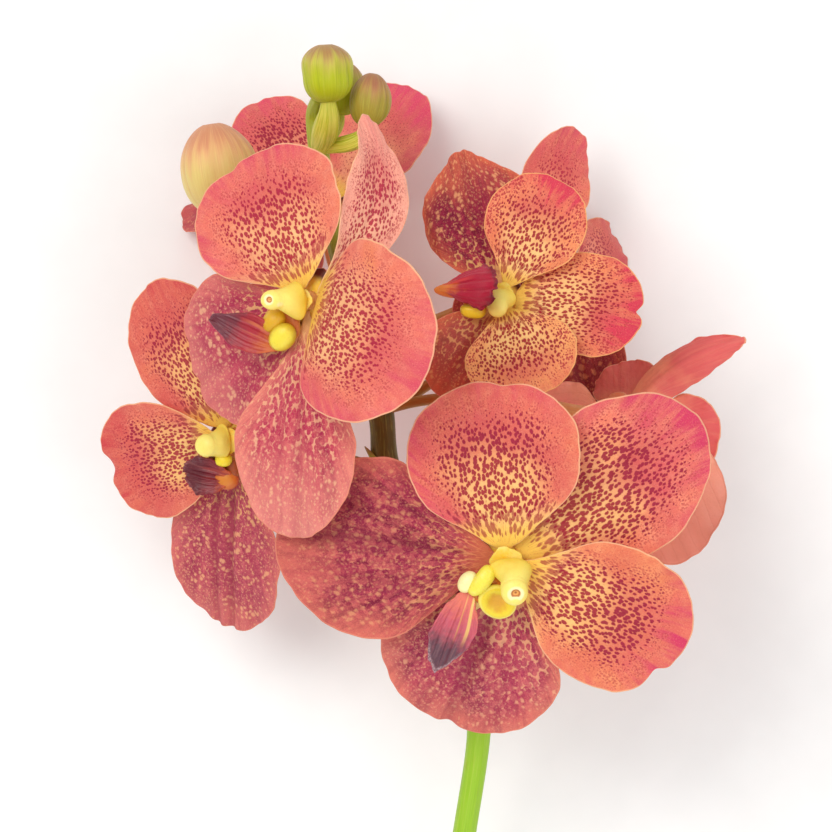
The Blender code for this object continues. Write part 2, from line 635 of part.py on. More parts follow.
def build_lip(bloom, collection):
    """The lip: a thick tongue with two ears, a throat and a short spur, as one solid."""
    name = bloom["name"] + "_lip"
    size = bloom["size"]
    values = lip_values(bloom)
    frame = lip_frame(bloom, values)
    cells = 6 if bloom["cells"] > 6 else 4
    tongue = blade_object(
        name + "_tongue", values, frame_matrix(*frame), cells, LIP_THICKNESS, collection
    )
    matrix = side_matrix(bloom, lip_axes(bloom))
    others = []
    for side in (-1.0, 1.0):
        at = [side * EAR["at"][0] * size, EAR["at"][1] * size, EAR["at"][2] * size]
        half = [h * size for h in EAR["half"]]
        others.append(ball_object(name + "_ear", at, half, side * EAR["lean"], matrix, collection, 8, 5))
    throat = [v * size for v in THROAT["at"]], [h * size for h in THROAT["half"]]
    for at, half in (throat, spur_shape(bloom)):
        others.append(ball_object(name + "_part", at, half, 0.0, matrix, collection, 8, 5))
    return joined(name, tongue, others, collection)


def build_column(bloom, collection):
    """The column: a stout tube from the receptacle, with its rounded cap and its foot."""
    name = bloom["name"] + "_column"
    size = bloom["size"]
    matrix = side_matrix(bloom, column_axes(bloom))
    points = [(x * size, y * size, z if k == 0 else z * size) for k, (x, y, z, r) in enumerate(COLUMN)]
    tube = tube_object(name + "_tube", points, [p[3] * size for p in COLUMN], collection, matrix)
    at = [v * size for v in CAP["at"]]
    cap = ball_object(name + "_cap", at, [h * size for h in CAP["half"]], 0.0, matrix, collection, 8, 6)
    at, half = foot_shape(bloom)
    matrix = side_matrix(bloom, bloom_axes(bloom))
    foot = ball_object(name + "_foot", at, half, 0.0, matrix, collection, 8, 4)
    return joined(name, tube, [cap, foot], collection)


def main():
    """Build the spray."""
    for obj in list(bpy.data.objects):
        bpy.data.objects.remove(obj)
    collection = bpy.data.collections.new(OBJECT_NAME)
    bpy.context.scene.collection.children.link(collection)
    spray = bpy.data.objects.new(OBJECT_NAME + "_root", None)
    spray.location = Vector(SHIFT) * MM
    collection.objects.link(spray)
    made = []
    stem = build_stem(collection)
    stem.data.materials.append(new_material("stem", (0.30, 0.47, 0.03), 0.45))
    made.append(stem)
    for bloom in BLOOMS:
        for part, values, radius, height in bloom_blades(bloom):
            matrix = frame_matrix(*blade_frame(bloom, bloom_axes(bloom), values, radius, height))
            name = bloom["name"] + "_" + part
            blade = blade_object(name, values, matrix, bloom["cells"], BLADE_THICKNESS, collection)
            colour = (0.62, 0.16, 0.18) if "lateral" in part else (0.83, 0.27, 0.16)
            blade.data.materials.append(new_material(name, colour, 0.55))
            made.append(blade)
        lip = build_lip(bloom, collection)
        lip.data.materials.append(new_material(bloom["name"] + "_lip", (0.25, 0.03, 0.05), 0.4))
        column = build_column(bloom, collection)
        column.data.materials.append(new_material(bloom["name"] + "_column", (0.93, 0.80, 0.28), 0.4))
        made.extend((lip, column))
    for bud in BUDS:
        closed = build_bud(bud, collection)
        closed.data.materials.append(new_material(bud["name"], (0.62, 0.62, 0.12), 0.5))
        made.append(closed)
    for obj in made:
        obj.parent = spray
    bpy.context.view_layer.update()


main()
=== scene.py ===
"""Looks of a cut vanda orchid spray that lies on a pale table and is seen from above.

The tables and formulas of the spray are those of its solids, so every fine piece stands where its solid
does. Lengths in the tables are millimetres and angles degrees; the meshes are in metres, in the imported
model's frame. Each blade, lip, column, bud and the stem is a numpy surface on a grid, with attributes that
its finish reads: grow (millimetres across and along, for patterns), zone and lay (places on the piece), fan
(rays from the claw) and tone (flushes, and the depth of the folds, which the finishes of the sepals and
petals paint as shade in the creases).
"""
import math

import bpy
import numpy as np
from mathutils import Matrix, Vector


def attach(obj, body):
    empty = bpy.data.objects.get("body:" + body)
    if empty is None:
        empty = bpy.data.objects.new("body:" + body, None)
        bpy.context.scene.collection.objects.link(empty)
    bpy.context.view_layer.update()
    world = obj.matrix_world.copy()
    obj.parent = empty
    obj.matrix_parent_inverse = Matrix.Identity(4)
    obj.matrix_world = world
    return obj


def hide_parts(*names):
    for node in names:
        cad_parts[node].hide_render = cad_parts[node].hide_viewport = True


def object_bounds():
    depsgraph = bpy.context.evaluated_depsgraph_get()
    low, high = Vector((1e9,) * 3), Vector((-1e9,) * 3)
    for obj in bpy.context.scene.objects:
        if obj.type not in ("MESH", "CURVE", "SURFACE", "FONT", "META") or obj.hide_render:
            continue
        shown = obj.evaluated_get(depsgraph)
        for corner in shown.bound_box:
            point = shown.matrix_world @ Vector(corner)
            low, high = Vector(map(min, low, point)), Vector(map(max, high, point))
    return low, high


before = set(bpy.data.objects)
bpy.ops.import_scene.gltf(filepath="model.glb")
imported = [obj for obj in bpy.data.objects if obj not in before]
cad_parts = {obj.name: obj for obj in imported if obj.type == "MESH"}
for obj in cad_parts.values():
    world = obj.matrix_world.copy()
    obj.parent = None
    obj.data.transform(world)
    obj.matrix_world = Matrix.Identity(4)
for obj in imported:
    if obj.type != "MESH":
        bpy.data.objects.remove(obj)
CAD_BOX = [[float(x) for x in corner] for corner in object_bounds()]

MM = 0.001
STALK_RADIUS = 1.25
OVARY_SWELL = 0.5
RECEPTACLE_RADIUS = 2.1
SEPAL_HEIGHT = -2.7
PETAL_HEIGHT = -1.1
BASE_RADIUS = 2.5
SPINE_STEPS = 240
# Moves the whole spray, so that the middle of its outline is at the origin and its lowest point at height 0.
SHIFT = (0.05, 0.1, 0.07)

# The rachis, from the cut end to the tip: x, y, z of its centre line and its radius.
RACHIS = (
    (1.0, -130.0, 3.05, 3.05),
    (3.0, -112.0, 5.0, 2.85),
    (6.0, -86.0, 14.0, 2.75),
    (9.8, -56.0, 29.0, 2.75),
    (13.2, -30.0, 40.0, 2.7),
    (12.6, -12.0, 45.5, 2.7),
    (7.5, 4.0, 48.0, 2.7),
    (-1.5, 19.0, 49.5, 2.8),
    (-8.3, 33.0, 50.0, 2.9),
    (-9.8, 46.0, 50.0, 2.9),
    (-14.0, 61.0, 50.0, 2.6),
    (-18.0, 77.0, 50.0, 2.4),
    (-21.6, 92.0, 50.5, 2.2),
    (-24.0, 106.0, 51.0, 2.2),
    (-25.0, 114.5, 51.0, 2.1),
)

# One blade, before a bloom's own values. angle turns clockwise from the dorsal direction, seen from the
# front; pitch lifts the blade towards the viewer; roll turns it about its own length, and twist adds to that
# turn on the way to the tip; bend and hook curve it back along its length; cup rolls its sides forward;
# sweep bows it sideways in its own plane; fold turns one side back past fold_from.
BLADE = dict(
    angle=0.0, pitch=0.0, roll=0.0, twist=0.0, length=44.0, width=34.0, claw=0.3, claw_end=0.45, widest=0.8,
    point=0.0, bend=15.0, hook=0.0, cup=14.0, cup_tip=6.0, sweep=0.0, groove=0.5, ruffle=0.5, waves=5.0,
    phase=0.4, lobe=0.006, nick=0.0, nick_at=0.0, nick_wide=0.16, fold=0.0, fold_side=1.0, fold_from=0.5,
)
DORSAL = dict(angle=0.0, pitch=8.0, length=46.0, width=33.0, claw=0.34, point=0.12)
PETAL = dict(pitch=12.0, length=41.0, width=38.0, claw=0.16, claw_end=0.42, widest=0.78, groove=0.3)
LATERAL = dict(pitch=2.0, length=48.0, width=40.0, claw=0.3, widest=0.82, point=0.08, bend=18.0)
KINDS = (
    ("dorsal_sepal", DORSAL, 0.0, SEPAL_HEIGHT),
    ("petal_left", PETAL, -62.0, PETAL_HEIGHT),
    ("petal_right", PETAL, 62.0, PETAL_HEIGHT),
    ("lateral_sepal_left", LATERAL, -136.0, SEPAL_HEIGHT),
    ("lateral_sepal_right", LATERAL, 136.0, SEPAL_HEIGHT),
)

# Each bloom: where its receptacle ends, which way it faces, which way its dorsal sepal points, the same two
# for its lip and, where it leans another way, its column, the size of its lip and column, the rachis point
# and direction where its stalk leaves, and its own blade, lip, spur and foot values.
BLOOMS = (
    dict(
        name="bloom_1", centre=(18.8, 12.4, 88.0), face=(-0.1, -0.26, 0.96), dorsal=(0.82, 0.57, 0.1),
        lip_face=(0.0, -0.25, 0.95), lip_way=(-0.58, -0.81, -0.1), size=1.0, node=7,
        column_face=(0.06, -0.62, 0.78), column_way=(0.1, -1.0, 0.0), leave=(0.5, 0.2, 0.6),
        dorsal_sepal=dict(angle=-1.0, length=50.5, width=36.5, claw=0.9, pitch=-6.0, bend=12.0,
            point=0.1),
        petal_left=dict(angle=-62.0, length=38.5, width=39.0, claw=0.6, claw_end=0.32, pitch=2.0,
            nick=0.07, nick_at=0.2),
        petal_right=dict(angle=62.0, length=42.0, width=34.0, claw=0.55, claw_end=0.36, pitch=6.0,
            nick=0.12, nick_at=0.5),
        lateral_sepal_left=dict(angle=-142.5, length=51.0, width=42.0, claw=0.45, pitch=3.0, sweep=4.0,
            roll=-4.0),
        lateral_sepal_right=dict(angle=144.0, length=46.5, width=42.5, claw=0.7, pitch=-10.0,
            bend=14.0, roll=-3.0),
        lip=dict(pitch=8.0, bend=26.0, length=21.0, width=12.5, angle=-17.0, at=(3.4, 10.0, 0.2), point=0.2),
    ),
    dict(
        name="bloom_2", centre=(-26.4, 70.9, 88.0), face=(-0.45, 0.0, 0.89), dorsal=(0.35, 0.93, 0.18),
        lip_face=(-0.42, -0.15, 0.88), lip_way=(-0.69, -0.73, -0.4), size=1.0, node=9,
        column_face=(-0.76, -0.13, 0.63), column_way=(-1.0, -0.1, 0.0), foot=0.62, leave=(-0.3, 0.3, 0.8),
        dorsal_sepal=dict(angle=30.5, length=46.5, width=19.0, roll=-60.0, pitch=-9.6, sweep=-88.0,
            point=0.5, claw=0.6),
        petal_left=dict(angle=-46.0, length=33.0, width=38.5, pitch=10.0, nick=0.06, nick_at=-0.3,
            claw=0.6, claw_end=0.34),
        petal_right=dict(angle=88.0, length=42.0, width=40.0, pitch=50.0, bend=62.0, claw=0.5,
            claw_end=0.3, widest=0.95),
        lateral_sepal_left=dict(angle=-140.0, length=40.0, width=36.0, claw=0.5, pitch=-9.0),
        lateral_sepal_right=dict(angle=161.5, length=51.0, width=32.0, point=0.14, claw=0.35,
            claw_end=0.62, widest=0.68, pitch=6.0, bend=12.0),
        lip=dict(length=19.0, width=11.5, pitch=14.0, bend=10.0, angle=70.0, at=(-4.2, 10.8, 0.5)),
    ),
    dict(
        name="bloom_3", centre=(18.0, 72.5, 64.0), face=(-0.1, 0.28, 0.95), dorsal=(0.99, -0.1, 0.1),
        lip_face=(-0.1, 0.1, 0.98), lip_way=(-0.99, 0.05, -0.1), size=0.8, node=9,
        column_face=(-0.16, -0.3, 0.94), column_way=(-0.1, -1.0, 0.0), leave=(0.7, 0.3, 0.0),
        dorsal_sepal=dict(angle=0.0, length=30.4, width=25.0, claw=0.9, nick=0.16, nick_at=0.0,
            nick_wide=0.12, point=0.0),
        petal_left=dict(angle=-70.0, length=28.0, width=23.5, pitch=18.0, claw=0.45, nick=0.04),
        petal_right=dict(angle=66.0, length=25.0, width=26.0, pitch=20.0, claw=0.5),
        lateral_sepal_left=dict(angle=-112.0, length=37.5, width=31.0, claw=0.8, point=0.56, fold=60.0,
            fold_side=-1.0, fold_from=0.7, widest=0.72),
        lateral_sepal_right=dict(angle=117.0, length=24.0, width=21.0, claw=0.7),
        lip=dict(length=23.0, width=14.0, pitch=144.0, bend=10.0, at=(1.2, 17.6, 1.3), claw=0.34,
            claw_end=0.7, point=0.0),
        spur=dict(at=(0.8, 12.2, 0.3), half=(2.2, 7.2, 1.9)),
    ),
    dict(
        name="bloom_4", centre=(-45.0, 39.5, 55.0), face=(-0.45, -0.3, 0.84),
        dorsal=(-0.54, 0.84, 0.1), lip_face=(-0.3, -0.2, 0.93), lip_way=(-0.2, -0.98, -0.3), size=0.9,
        column_face=(-0.72, -0.05, 0.7), column_way=(-1.0, -0.1, 0.0), node=8, leave=(-0.8, 0.1, 0.1),
        dorsal_sepal=dict(angle=4.0, length=38.0, width=29.0, claw=0.9),
        petal_left=dict(angle=-77.0, length=33.0, width=28.5, nick=0.16, nick_at=0.0, nick_wide=0.2,
            claw=0.72, claw_end=0.38, pitch=9.0),
        petal_right=dict(angle=82.0, length=25.0, width=19.0, pitch=-2.0),
        lateral_sepal_left=dict(angle=-139.5, length=49.5, width=30.0, claw=0.6, widest=0.72),
        lateral_sepal_right=dict(angle=140.0, length=25.0, width=22.0, pitch=-18.0, phase=0.4),
        lip=dict(length=14.0, width=11.5, angle=86.0, at=(-3.6, 9.6, 0.8), pitch=16.0),
    ),
    dict(
        name="bloom_5", centre=(48.6, 44.0, 37.0), face=(0.45, 0.0, -0.89), dorsal=(0.81, 0.59, 0.41),
        lip_face=(0.45, 0.0, -0.89), lip_way=(-0.81, -0.59, -0.41), size=0.9,
        node=9, leave=(0.9, 0.35, 0.3),
        dorsal_sepal=dict(angle=20.0, sweep=-42.0, length=33.0, width=12.6, cup=80.0, cup_tip=60.0,
            point=0.5, claw=0.9, bend=-6.0),
        petal_left=dict(angle=-52.0, length=20.2, width=21.0, pitch=30.0),
        petal_right=dict(angle=70.0, length=13.0, width=17.0, pitch=32.0),
        lateral_sepal_left=dict(angle=-91.0, length=35.0, width=30.0),
        lateral_sepal_right=dict(angle=146.0, length=20.0, width=18.0, pitch=-5.0),
        lip=dict(),
    ),
    dict(
        name="bloom_6", centre=(-23.0, 96.0, 25.0), face=(0.05, 0.5, 0.86), dorsal=(0.8, 0.45, -0.3),
        lip_face=(0.05, 0.5, 0.86), lip_way=(-0.8, -0.45, 0.3), size=0.8,
        node=10, leave=(0.0, -0.2, -0.9),
        dorsal_sepal=dict(angle=-23.0, length=37.0, width=24.0, pitch=14.0),
        petal_left=dict(angle=-90.0, length=30.0, width=23.0, pitch=14.0),
        petal_right=dict(angle=66.0, length=17.0, width=18.0),
        lateral_sepal_left=dict(angle=-129.0, length=40.0, width=18.0, pitch=-23.0, phase=0.4,
            lobe=0.015),
        lateral_sepal_right=dict(angle=160.0, length=24.0, width=18.0, pitch=-10.0),
        lip=dict(),
    ),
    dict(
        name="bloom_7", centre=(33.0, 80.0, 27.0), face=(0.25, 0.1, 0.96), dorsal=(-0.1, 1.0, -0.1),
        lip_face=(0.25, 0.1, 0.96), lip_way=(0.1, -1.0, 0.1), size=0.8,
        node=10, leave=(0.5, 0.2, -0.8),
        dorsal_sepal=dict(angle=-10.0, length=34.0, width=18.0, point=0.25, sweep=54.0),
        petal_left=dict(angle=-62.0, length=24.0, width=23.0),
        petal_right=dict(angle=77.0, length=29.0, width=20.0, pitch=-36.0),
        lateral_sepal_left=dict(angle=-118.0, length=26.0, width=22.0),
        lateral_sepal_right=dict(angle=172.0, length=36.0, width=24.0),
        lip=dict(),
    ),
)

# The lip's tongue is a thick trough, in the same terms as a blade. at is where its base sits: across, along
# the lip's direction from the bloom's axis, and forward.
LIP = dict(
    angle=0.0, pitch=38.0, length=17.0, width=10.5, claw=0.62, claw_end=0.5, widest=0.9, point=0.35,
    bend=38.0, hook=0.0, cup=62.0, cup_tip=40.0, groove=0.0, ruffle=0.25, lobe=0.03, at=(0.0, 6.2, 0.9),
)
# The lip's parts beside the tongue: ears, throat and spur, as ellipsoids: x across, y along the lip's
# direction from the bloom's axis, z forward, three half-axes, and a lean away from the axis.
EAR = dict(at=(3.8, 8.0, 1.7), half=(2.2, 4.2, 2.4), lean=24.0)
THROAT = dict(at=(0.0, 7.6, 0.2), half=(4.6, 3.9, 1.5))
SPUR = dict(at=(0.0, 9.6, -0.9), half=(1.8, 4.6, 1.3))
# The column: a short stout tube along the bloom's axis that leans over the lip, with a cap at its end.
COLUMN = (
    (0.0, 0.0, 0.1, 0.9),
    (0.0, 0.0, 1.5, 3.2),
    (0.0, 0.1, 3.0, 3.5),
    (0.0, 0.4, 5.2, 2.9),
    (0.0, 1.0, 7.2, 2.75),
)
CAP = dict(at=(0.0, 1.5, 8.6), half=(3.0, 2.9, 2.2))
# The column's foot: a low dome over the receptacle, in the bloom's own directions.
FOOT = dict(at=(0.0, 0.0, 0.7), half=(3.9, 3.9, 0.9))

# Bracts: small pointed scales that clasp the rachis at its nodes. Each one's place along the rachis, counted
# in the points of its table, and the angle round it from +X towards +Z.
BRACT = dict(length=7.5, width=5.6, thick=1.2, lean=16.0)
BRACTS = (
    (2.57, 42.0), (4.31, 213.0), (7.07, 8.0), (8.11, 163.0),
    (9.13, 47.0), (10.27, 251.0), (12.1, 171.0), (13.17, 24.0),
)

# Each bud: the middle of its base, the way it points, its length and greatest width, its rib depth, where its
# stalk leaves the rachis and its stalk's radius.
BUDS = (
    dict(
        name="bud_tip", base=(-21.6, 116.8, 62.0), to=(-0.06, 1.0, 0.1), length=13.6, width=11.8,
        ribs=0.05, node=13, stalk=2.6,
    ),
    dict(
        name="bud_end", base=(-19.0, 115.0, 49.0), to=(0.1, 1.0, 0.0), length=12.5, width=9.5,
        ribs=0.05, node=13, stalk=1.3,
    ),
    dict(
        name="bud_olive", base=(-13.1, 111.7, 57.0), to=(0.14, 0.98, 0.0), length=12.6, width=9.2,
        ribs=0.05, node=13, stalk=1.7,
    ),
    dict(
        name="bud_cream", base=(-45.3, 91.0, 62.0), to=(-0.15, 1.0, 0.1), length=21.5, width=17.0,
        ribs=0.04, node=12, stalk=1.5,
    ),
)

# How the fine blades differ from their solids: cells along each side of a blade's grid by bloom, half the
# thickness at the middle and at the margin, how much is added to it at the claw, how far the rounded margin
# stands out, and how many veins cross a blade.
FINE_CELLS = {
    "bloom_1": 76, "bloom_2": 76, "bloom_3": 64, "bloom_4": 64, "bloom_5": 52, "bloom_6": 52, "bloom_7": 52,
}
HALF_MIDDLE = 0.34
HALF_MARGIN = 0.15
HALF_CLAW = 0.2
MARGIN_ROUND = 0.1
VEIN_COUNT = 11.0
# Cells along each side of a tongue's grid, in the open blooms in front and in the others, how many of those
# are in front, and a tongue's thickness against a blade's.
LIP_CELLS = (48, 32)
OPEN_BLOOMS = 4
TONGUE_SCALE = 1.5
# Segments round and rings of the eggs of a lip and of a column's foot.
EAR_GRID = (36, 26)
THROAT_GRID = (32, 18)
SPUR_GRID = (28, 18)
FOOT_GRID = (40, 12)

# The camera looks straight down at the spray from 0.96 m, as the photograph looks at its front.
CAMERA_AT = (-0.00145, 0.0451, 0.96007)
CAMERA_LENS = 169.3
FLOOR_SIZE = 3.0
# How far the floor is below the spray's lowest point.
FLOOR_GAP = 0.0001
ROOM_LIGHT = 0.62
# The soft square lights: place, side, power and colour. They look at LIGHT_AIM.
LIGHT_AIM = (0.0, 0.0, 0.05)
LIGHTS = {
    "key": ((-0.7, 0.6, 1.5), 0.9, 14.0, (1.0, 0.98, 0.95)),
    "fill": ((0.9, -0.2, 1.3), 1.2, 6.0, (0.97, 0.98, 1.0)),
    "low": ((0.0, -1.2, 0.9), 1.0, 4.0, (1.0, 1.0, 1.0)),
}


def smooth(x):
    """Smoothstep from 0 to 1."""
    x = np.clip(x, 0.0, 1.0)
    return x * x * (3.0 - 2.0 * x)


def unit(v):
    """A vector of length 1 along v."""
    v = np.asarray(v, float)
    return v / np.linalg.norm(v)


def bloom_axes(bloom):
    """The bloom's right, dorsal and forward directions, as seen by someone that it faces."""
    forward = unit(bloom["face"])
    dorsal = np.asarray(bloom["dorsal"], float)
    dorsal = unit(dorsal - forward * dorsal.dot(forward))
    return np.cross(dorsal, forward), dorsal, forward


def disc(s, t):
    """The place on the unit disc of a point of the square from -1 to 1."""
    return s * np.sqrt(1.0 - t * t / 2.0), t * np.sqrt(1.0 - s * s / 2.0)


def blade_outline(b, u, v):
    """Across and along coordinates of the flat blade for a point of the unit disc, and its polar place there.

    The disc's rim gets lobes and one nick; the disc is stretched to the blade's length and width, narrowed to
    a claw at its base and drawn in towards its tip.
    """
    rho = np.hypot(u, v)
    psi = np.arctan2(u, v)
    away = smooth((v + 1.0) / 0.7)
    rim = 1.0 + b["lobe"] * np.sin(b["waves"] * 1.7 * psi + 2.0 * b["phase"]) * rho ** 3 * away
    rim = rim - b["nick"] * np.exp(-(((psi - b["nick_at"]) / b["nick_wide"]) ** 2)) * rho ** 5
    u = u * rim
    v = v * rim
    along = np.clip((v + 1.0) / 2.0, 0.0, 2.0) ** b["widest"]
    narrow = b["claw"] + (1.0 - b["claw"]) * smooth(along / b["claw_end"])
    narrow = narrow * (1.0 - b["point"] * smooth((along - 0.45) / 0.55))
    return u * narrow, along, rho, psi


def blade_surface(b, u, v):
    """Points of the blade's middle surface in millimetres, in its own frame, for points of the unit disc.

    x is across, y along and z forward. The middle line bends and sweeps; the sides are arcs of a circle
    across it, one side may fold back, a groove runs along the middle, and the margin is ruffled.
    """
    u, along, rho, psi = blade_outline(b, u, v)
    steps = np.linspace(0.0, 1.3, SPINE_STEPS)
    drop = np.radians(b["bend"]) * steps + np.radians(b["hook"]) * steps ** 4
    turn = np.radians(b["sweep"]) * steps
    tangent = np.stack([np.sin(turn) * np.cos(drop), np.cos(turn) * np.cos(drop), -np.sin(drop)])
    path = np.cumsum(tangent, axis=1) * (steps[1] * b["length"])
    path = path - path[:, :1]
    spine = np.stack([np.interp(along, steps, path[k]) for k in range(3)])
    drop = np.interp(along, steps, drop)
    turn = np.interp(along, steps, turn)
    across = np.stack([np.cos(turn), -np.sin(turn), np.zeros_like(turn)])
    tangent = np.stack([np.sin(turn) * np.cos(drop), np.cos(turn) * np.cos(drop), -np.sin(drop)])
    normal = np.cross(across, tangent, axis=0)
    tilt = np.radians(b["roll"] + b["twist"] * along)
    side = across * np.cos(tilt) + normal * np.sin(tilt)
    normal = normal * np.cos(tilt) - across * np.sin(tilt)
    half = b["width"] / 2.0
    cup = np.radians(b["cup"] + (b["cup_tip"] - b["cup"]) * along)
    cup = np.where(np.abs(cup) < 0.001, 0.001, cup)
    x = half * np.sin(cup * u) / cup
    z = half * (1.0 - np.cos(cup * u)) / cup
    past = np.clip(b["fold_side"] * u - b["fold_from"], 0.0, 1.0) * half
    x = x - b["fold_side"] * past * (1.0 - math.cos(math.radians(b["fold"])))
    z = z - past * math.sin(math.radians(b["fold"]))
    z = z - b["groove"] * np.exp(-((u / 0.1) ** 2)) * smooth(along / 0.2) * (1.0 - 0.6 * along)
    z = z + b["ruffle"] * rho ** 4 * np.sin(b["waves"] * psi + b["phase"]) * smooth(along / 0.3)
    return np.moveaxis(spine + side * x + normal * z, 0, -1)


def side_axes(face, way):
    """Right, way and forward directions from a forward direction and a rough way across it."""
    forward = unit(face)
    way = np.asarray(way, float)
    way = unit(way - forward * way.dot(forward))
    return np.cross(way, forward), way, forward


def lip_axes(bloom):
    """The right, lip and forward directions of the bloom's lip."""
    return side_axes(bloom["lip_face"], bloom["lip_way"])


def column_axes(bloom):
    """The same for its column, which leans in its own direction on the open blooms in front."""
    face = bloom.get("column_face", bloom["lip_face"])
    return side_axes(face, bloom.get("column_way", bloom["lip_way"]))


def blade_frame(bloom, axes, b, radius, height):
    """The blade's origin, in metres, and its across, along and forward directions."""
    right, dorsal, forward = axes
    angle = math.radians(b["angle"])
    pitch = math.radians(b["pitch"])
    radial = right * math.sin(angle) + dorsal * math.cos(angle)
    along = radial * math.cos(pitch) + forward * math.sin(pitch)
    normal = forward * math.cos(pitch) - radial * math.sin(pitch)
    origin = (np.asarray(bloom["centre"], float) + radial * radius + forward * height) * MM
    return origin, np.cross(along, normal), along, normal


def lip_frame(bloom, values):
    """The same for the tongue of the bloom's lip."""
    axes = lip_axes(bloom)
    origin, across, along, normal = blade_frame(bloom, axes, values, 0.0, 0.0)
    for step, axis in zip(values["at"], axes):
        origin = origin + axis * (step * bloom["size"] * MM)
    return origin, across, along, normal


def foot_shape(bloom):
    """The place and half-axes of the column's foot; it is narrower where a petal stands up beside it."""
    wide = bloom["size"] * bloom.get("foot", 1.0)
    x, y, z = FOOT["half"]
    return [v * bloom["size"] for v in FOOT["at"]], [x * wide, y * wide, z * bloom["size"]]


def bloom_blades(bloom):
    """Name, values, radius and height of each of the bloom's five blades."""
    found = []
    for name, kind, angle, height in KINDS:
        values = dict(BLADE)
        values.update(kind)
        values["angle"] = angle
        values["phase"] = 0.03 * angle + 7.0 * bloom["size"]
        values.update(bloom[name])
        found.append((name, values, BASE_RADIUS, height))
    return found


def lip_values(bloom):
    """The values of the bloom's lip tongue."""
    values = dict(BLADE)
    values.update(LIP)
    values.update(bloom["lip"])
    for key in ("length", "width"):
        values[key] = values[key] * bloom["size"]
    return values


def bezier(points, steps):
    """Points along a cubic curve with four control points."""
    a, b, c, d = (np.asarray(p, float) for p in points)
    found = []
    for k in range(steps + 1):
        t = k / steps
        w = 1.0 - t
        found.append(w ** 3 * a + 3 * w * w * t * b + 3 * w * t * t * c + t ** 3 * d)
    return found


def stalk_path(bloom, steps):
    """The flower stalk: it leaves the rachis at its node and comes up behind the bloom along its axis."""
    start = np.asarray(RACHIS[bloom["node"]][:3])
    forward = unit(bloom["face"])
    end = np.asarray(bloom["centre"], float) + forward * -0.6
    reach = float(np.linalg.norm(end - start))
    leave = unit(bloom["leave"])
    return bezier((start, start + leave * reach * 0.4, end - forward * reach * 0.42, end), steps)


def stalk_radius(t):
    """A stalk's radius at t from 0 to 1: slender at the rachis, a thicker ovary, and an even receptacle."""
    ovary = STALK_RADIUS + OVARY_SWELL * smooth((t - 0.35) / 0.4)
    return ovary + (RECEPTACLE_RADIUS - STALK_RADIUS - OVARY_SWELL) * smooth((t - 0.7) / 0.2)


def bud_stalk_path(bud, steps):
    """A bud's stalk: it leaves the rachis forward and upward and ends at the bud's base."""
    start = np.asarray(RACHIS[bud["node"]][:3])
    way = unit(bud["to"])
    end = np.asarray(bud["base"], float) - way * 0.3
    reach = float(np.linalg.norm(end - start))
    leave = np.array([0.0, 0.5, 0.6])
    return bezier((start, start + leave * reach * 0.4, end - way * reach * 0.4, end), steps)


def bract_place(at, turn):
    """Where a bract sits: the rachis point, the rachis direction, the direction away from it, the radius."""
    line = np.array(RACHIS)
    k = int(at)
    centre = line[k] + (line[k + 1] - line[k]) * (at - k)
    along = unit(line[k + 1][:3] - line[k][:3])
    away = np.array([math.cos(math.radians(turn)), 0.0, math.sin(math.radians(turn))])
    away = unit(away - along * along.dot(away))
    return centre[:3], along, away, centre[3]


def bud_surface(bud, azimuth, height):
    """Points of a bud in millimetres: an egg with three folded sepals, for azimuth and height from 0 to 1."""
    width = bud["width"] / 2.0
    body = (1.0 - np.abs(2.0 * height ** 0.9 - 1.0) ** 2.4) ** 0.5 * (0.93 + 0.12 * np.sin(np.pi * height))
    ribs = 1.0 + bud["ribs"] * np.cos(3.0 * azimuth) * np.sin(np.pi * height)
    ribs = ribs + 0.4 * bud["ribs"] * np.cos(6.0 * azimuth + 0.7) * np.sin(np.pi * height) ** 2
    radius = width * body * ribs
    return np.stack([radius * np.cos(azimuth), radius * np.sin(azimuth), bud["length"] * height], axis=-1)


def srgb(red, green, blue):
    """A screen colour from 0 to 255 as a linear colour."""
    values = []
    for value in (red, green, blue):
        value = value / 255.0
        values.append(value / 12.92 if value <= 0.04045 else ((value + 0.055) / 1.055) ** 2.4)
    return (values[0], values[1], values[2], 1.0)


def ramp(x, low, high):
    """Smoothstep of x from low to high."""
    return smooth((x - low) / (high - low))


# Meshes


def grid_quads(rows, columns, offset=0, around=False):
    """Quads of a grid of rows by columns of vertices; around joins the last column to the first."""
    i = np.arange(rows - 1)[:, None]
    j = np.arange(columns if around else columns - 1)[None, :]
    k = (j + 1) % columns
    low = i * columns
    high = low + columns
    quads = np.stack([low + j, low + k, high + k, high + j], axis=-1)
    return quads.reshape(-1, 4) + offset


def tube_parts(rings, low_pole, high_pole):
    """Vertices and faces of a closed surface: rings (rows, columns, 3) with a fan to a pole at either end."""
    rows, columns = rings.shape[:2]
    count = rows * columns
    points = np.concatenate([rings.reshape(-1, 3), [low_pole], [high_pole]])
    j = np.arange(columns)
    k = (j + 1) % columns
    last = (rows - 1) * columns
    low = np.stack([k, j, np.full(columns, count)], axis=-1)
    high = np.stack([last + j, last + k, np.full(columns, count + 1)], axis=-1)
    return points, [grid_quads(rows, columns, around=True), low, high]


def merged(parts):
    """Several (points, faces, attributes) as one."""
    points = []
    faces = []
    attributes = {}
    offset = 0
    for part_points, part_faces, part_attributes in parts:
        points.append(part_points)
        faces.extend(block + offset for block in part_faces)
        for name, values in part_attributes.items():
            attributes.setdefault(name, []).append(values)
        offset += len(part_points)
    return np.concatenate(points), faces, {name: np.concatenate(rows) for name, rows in attributes.items()}


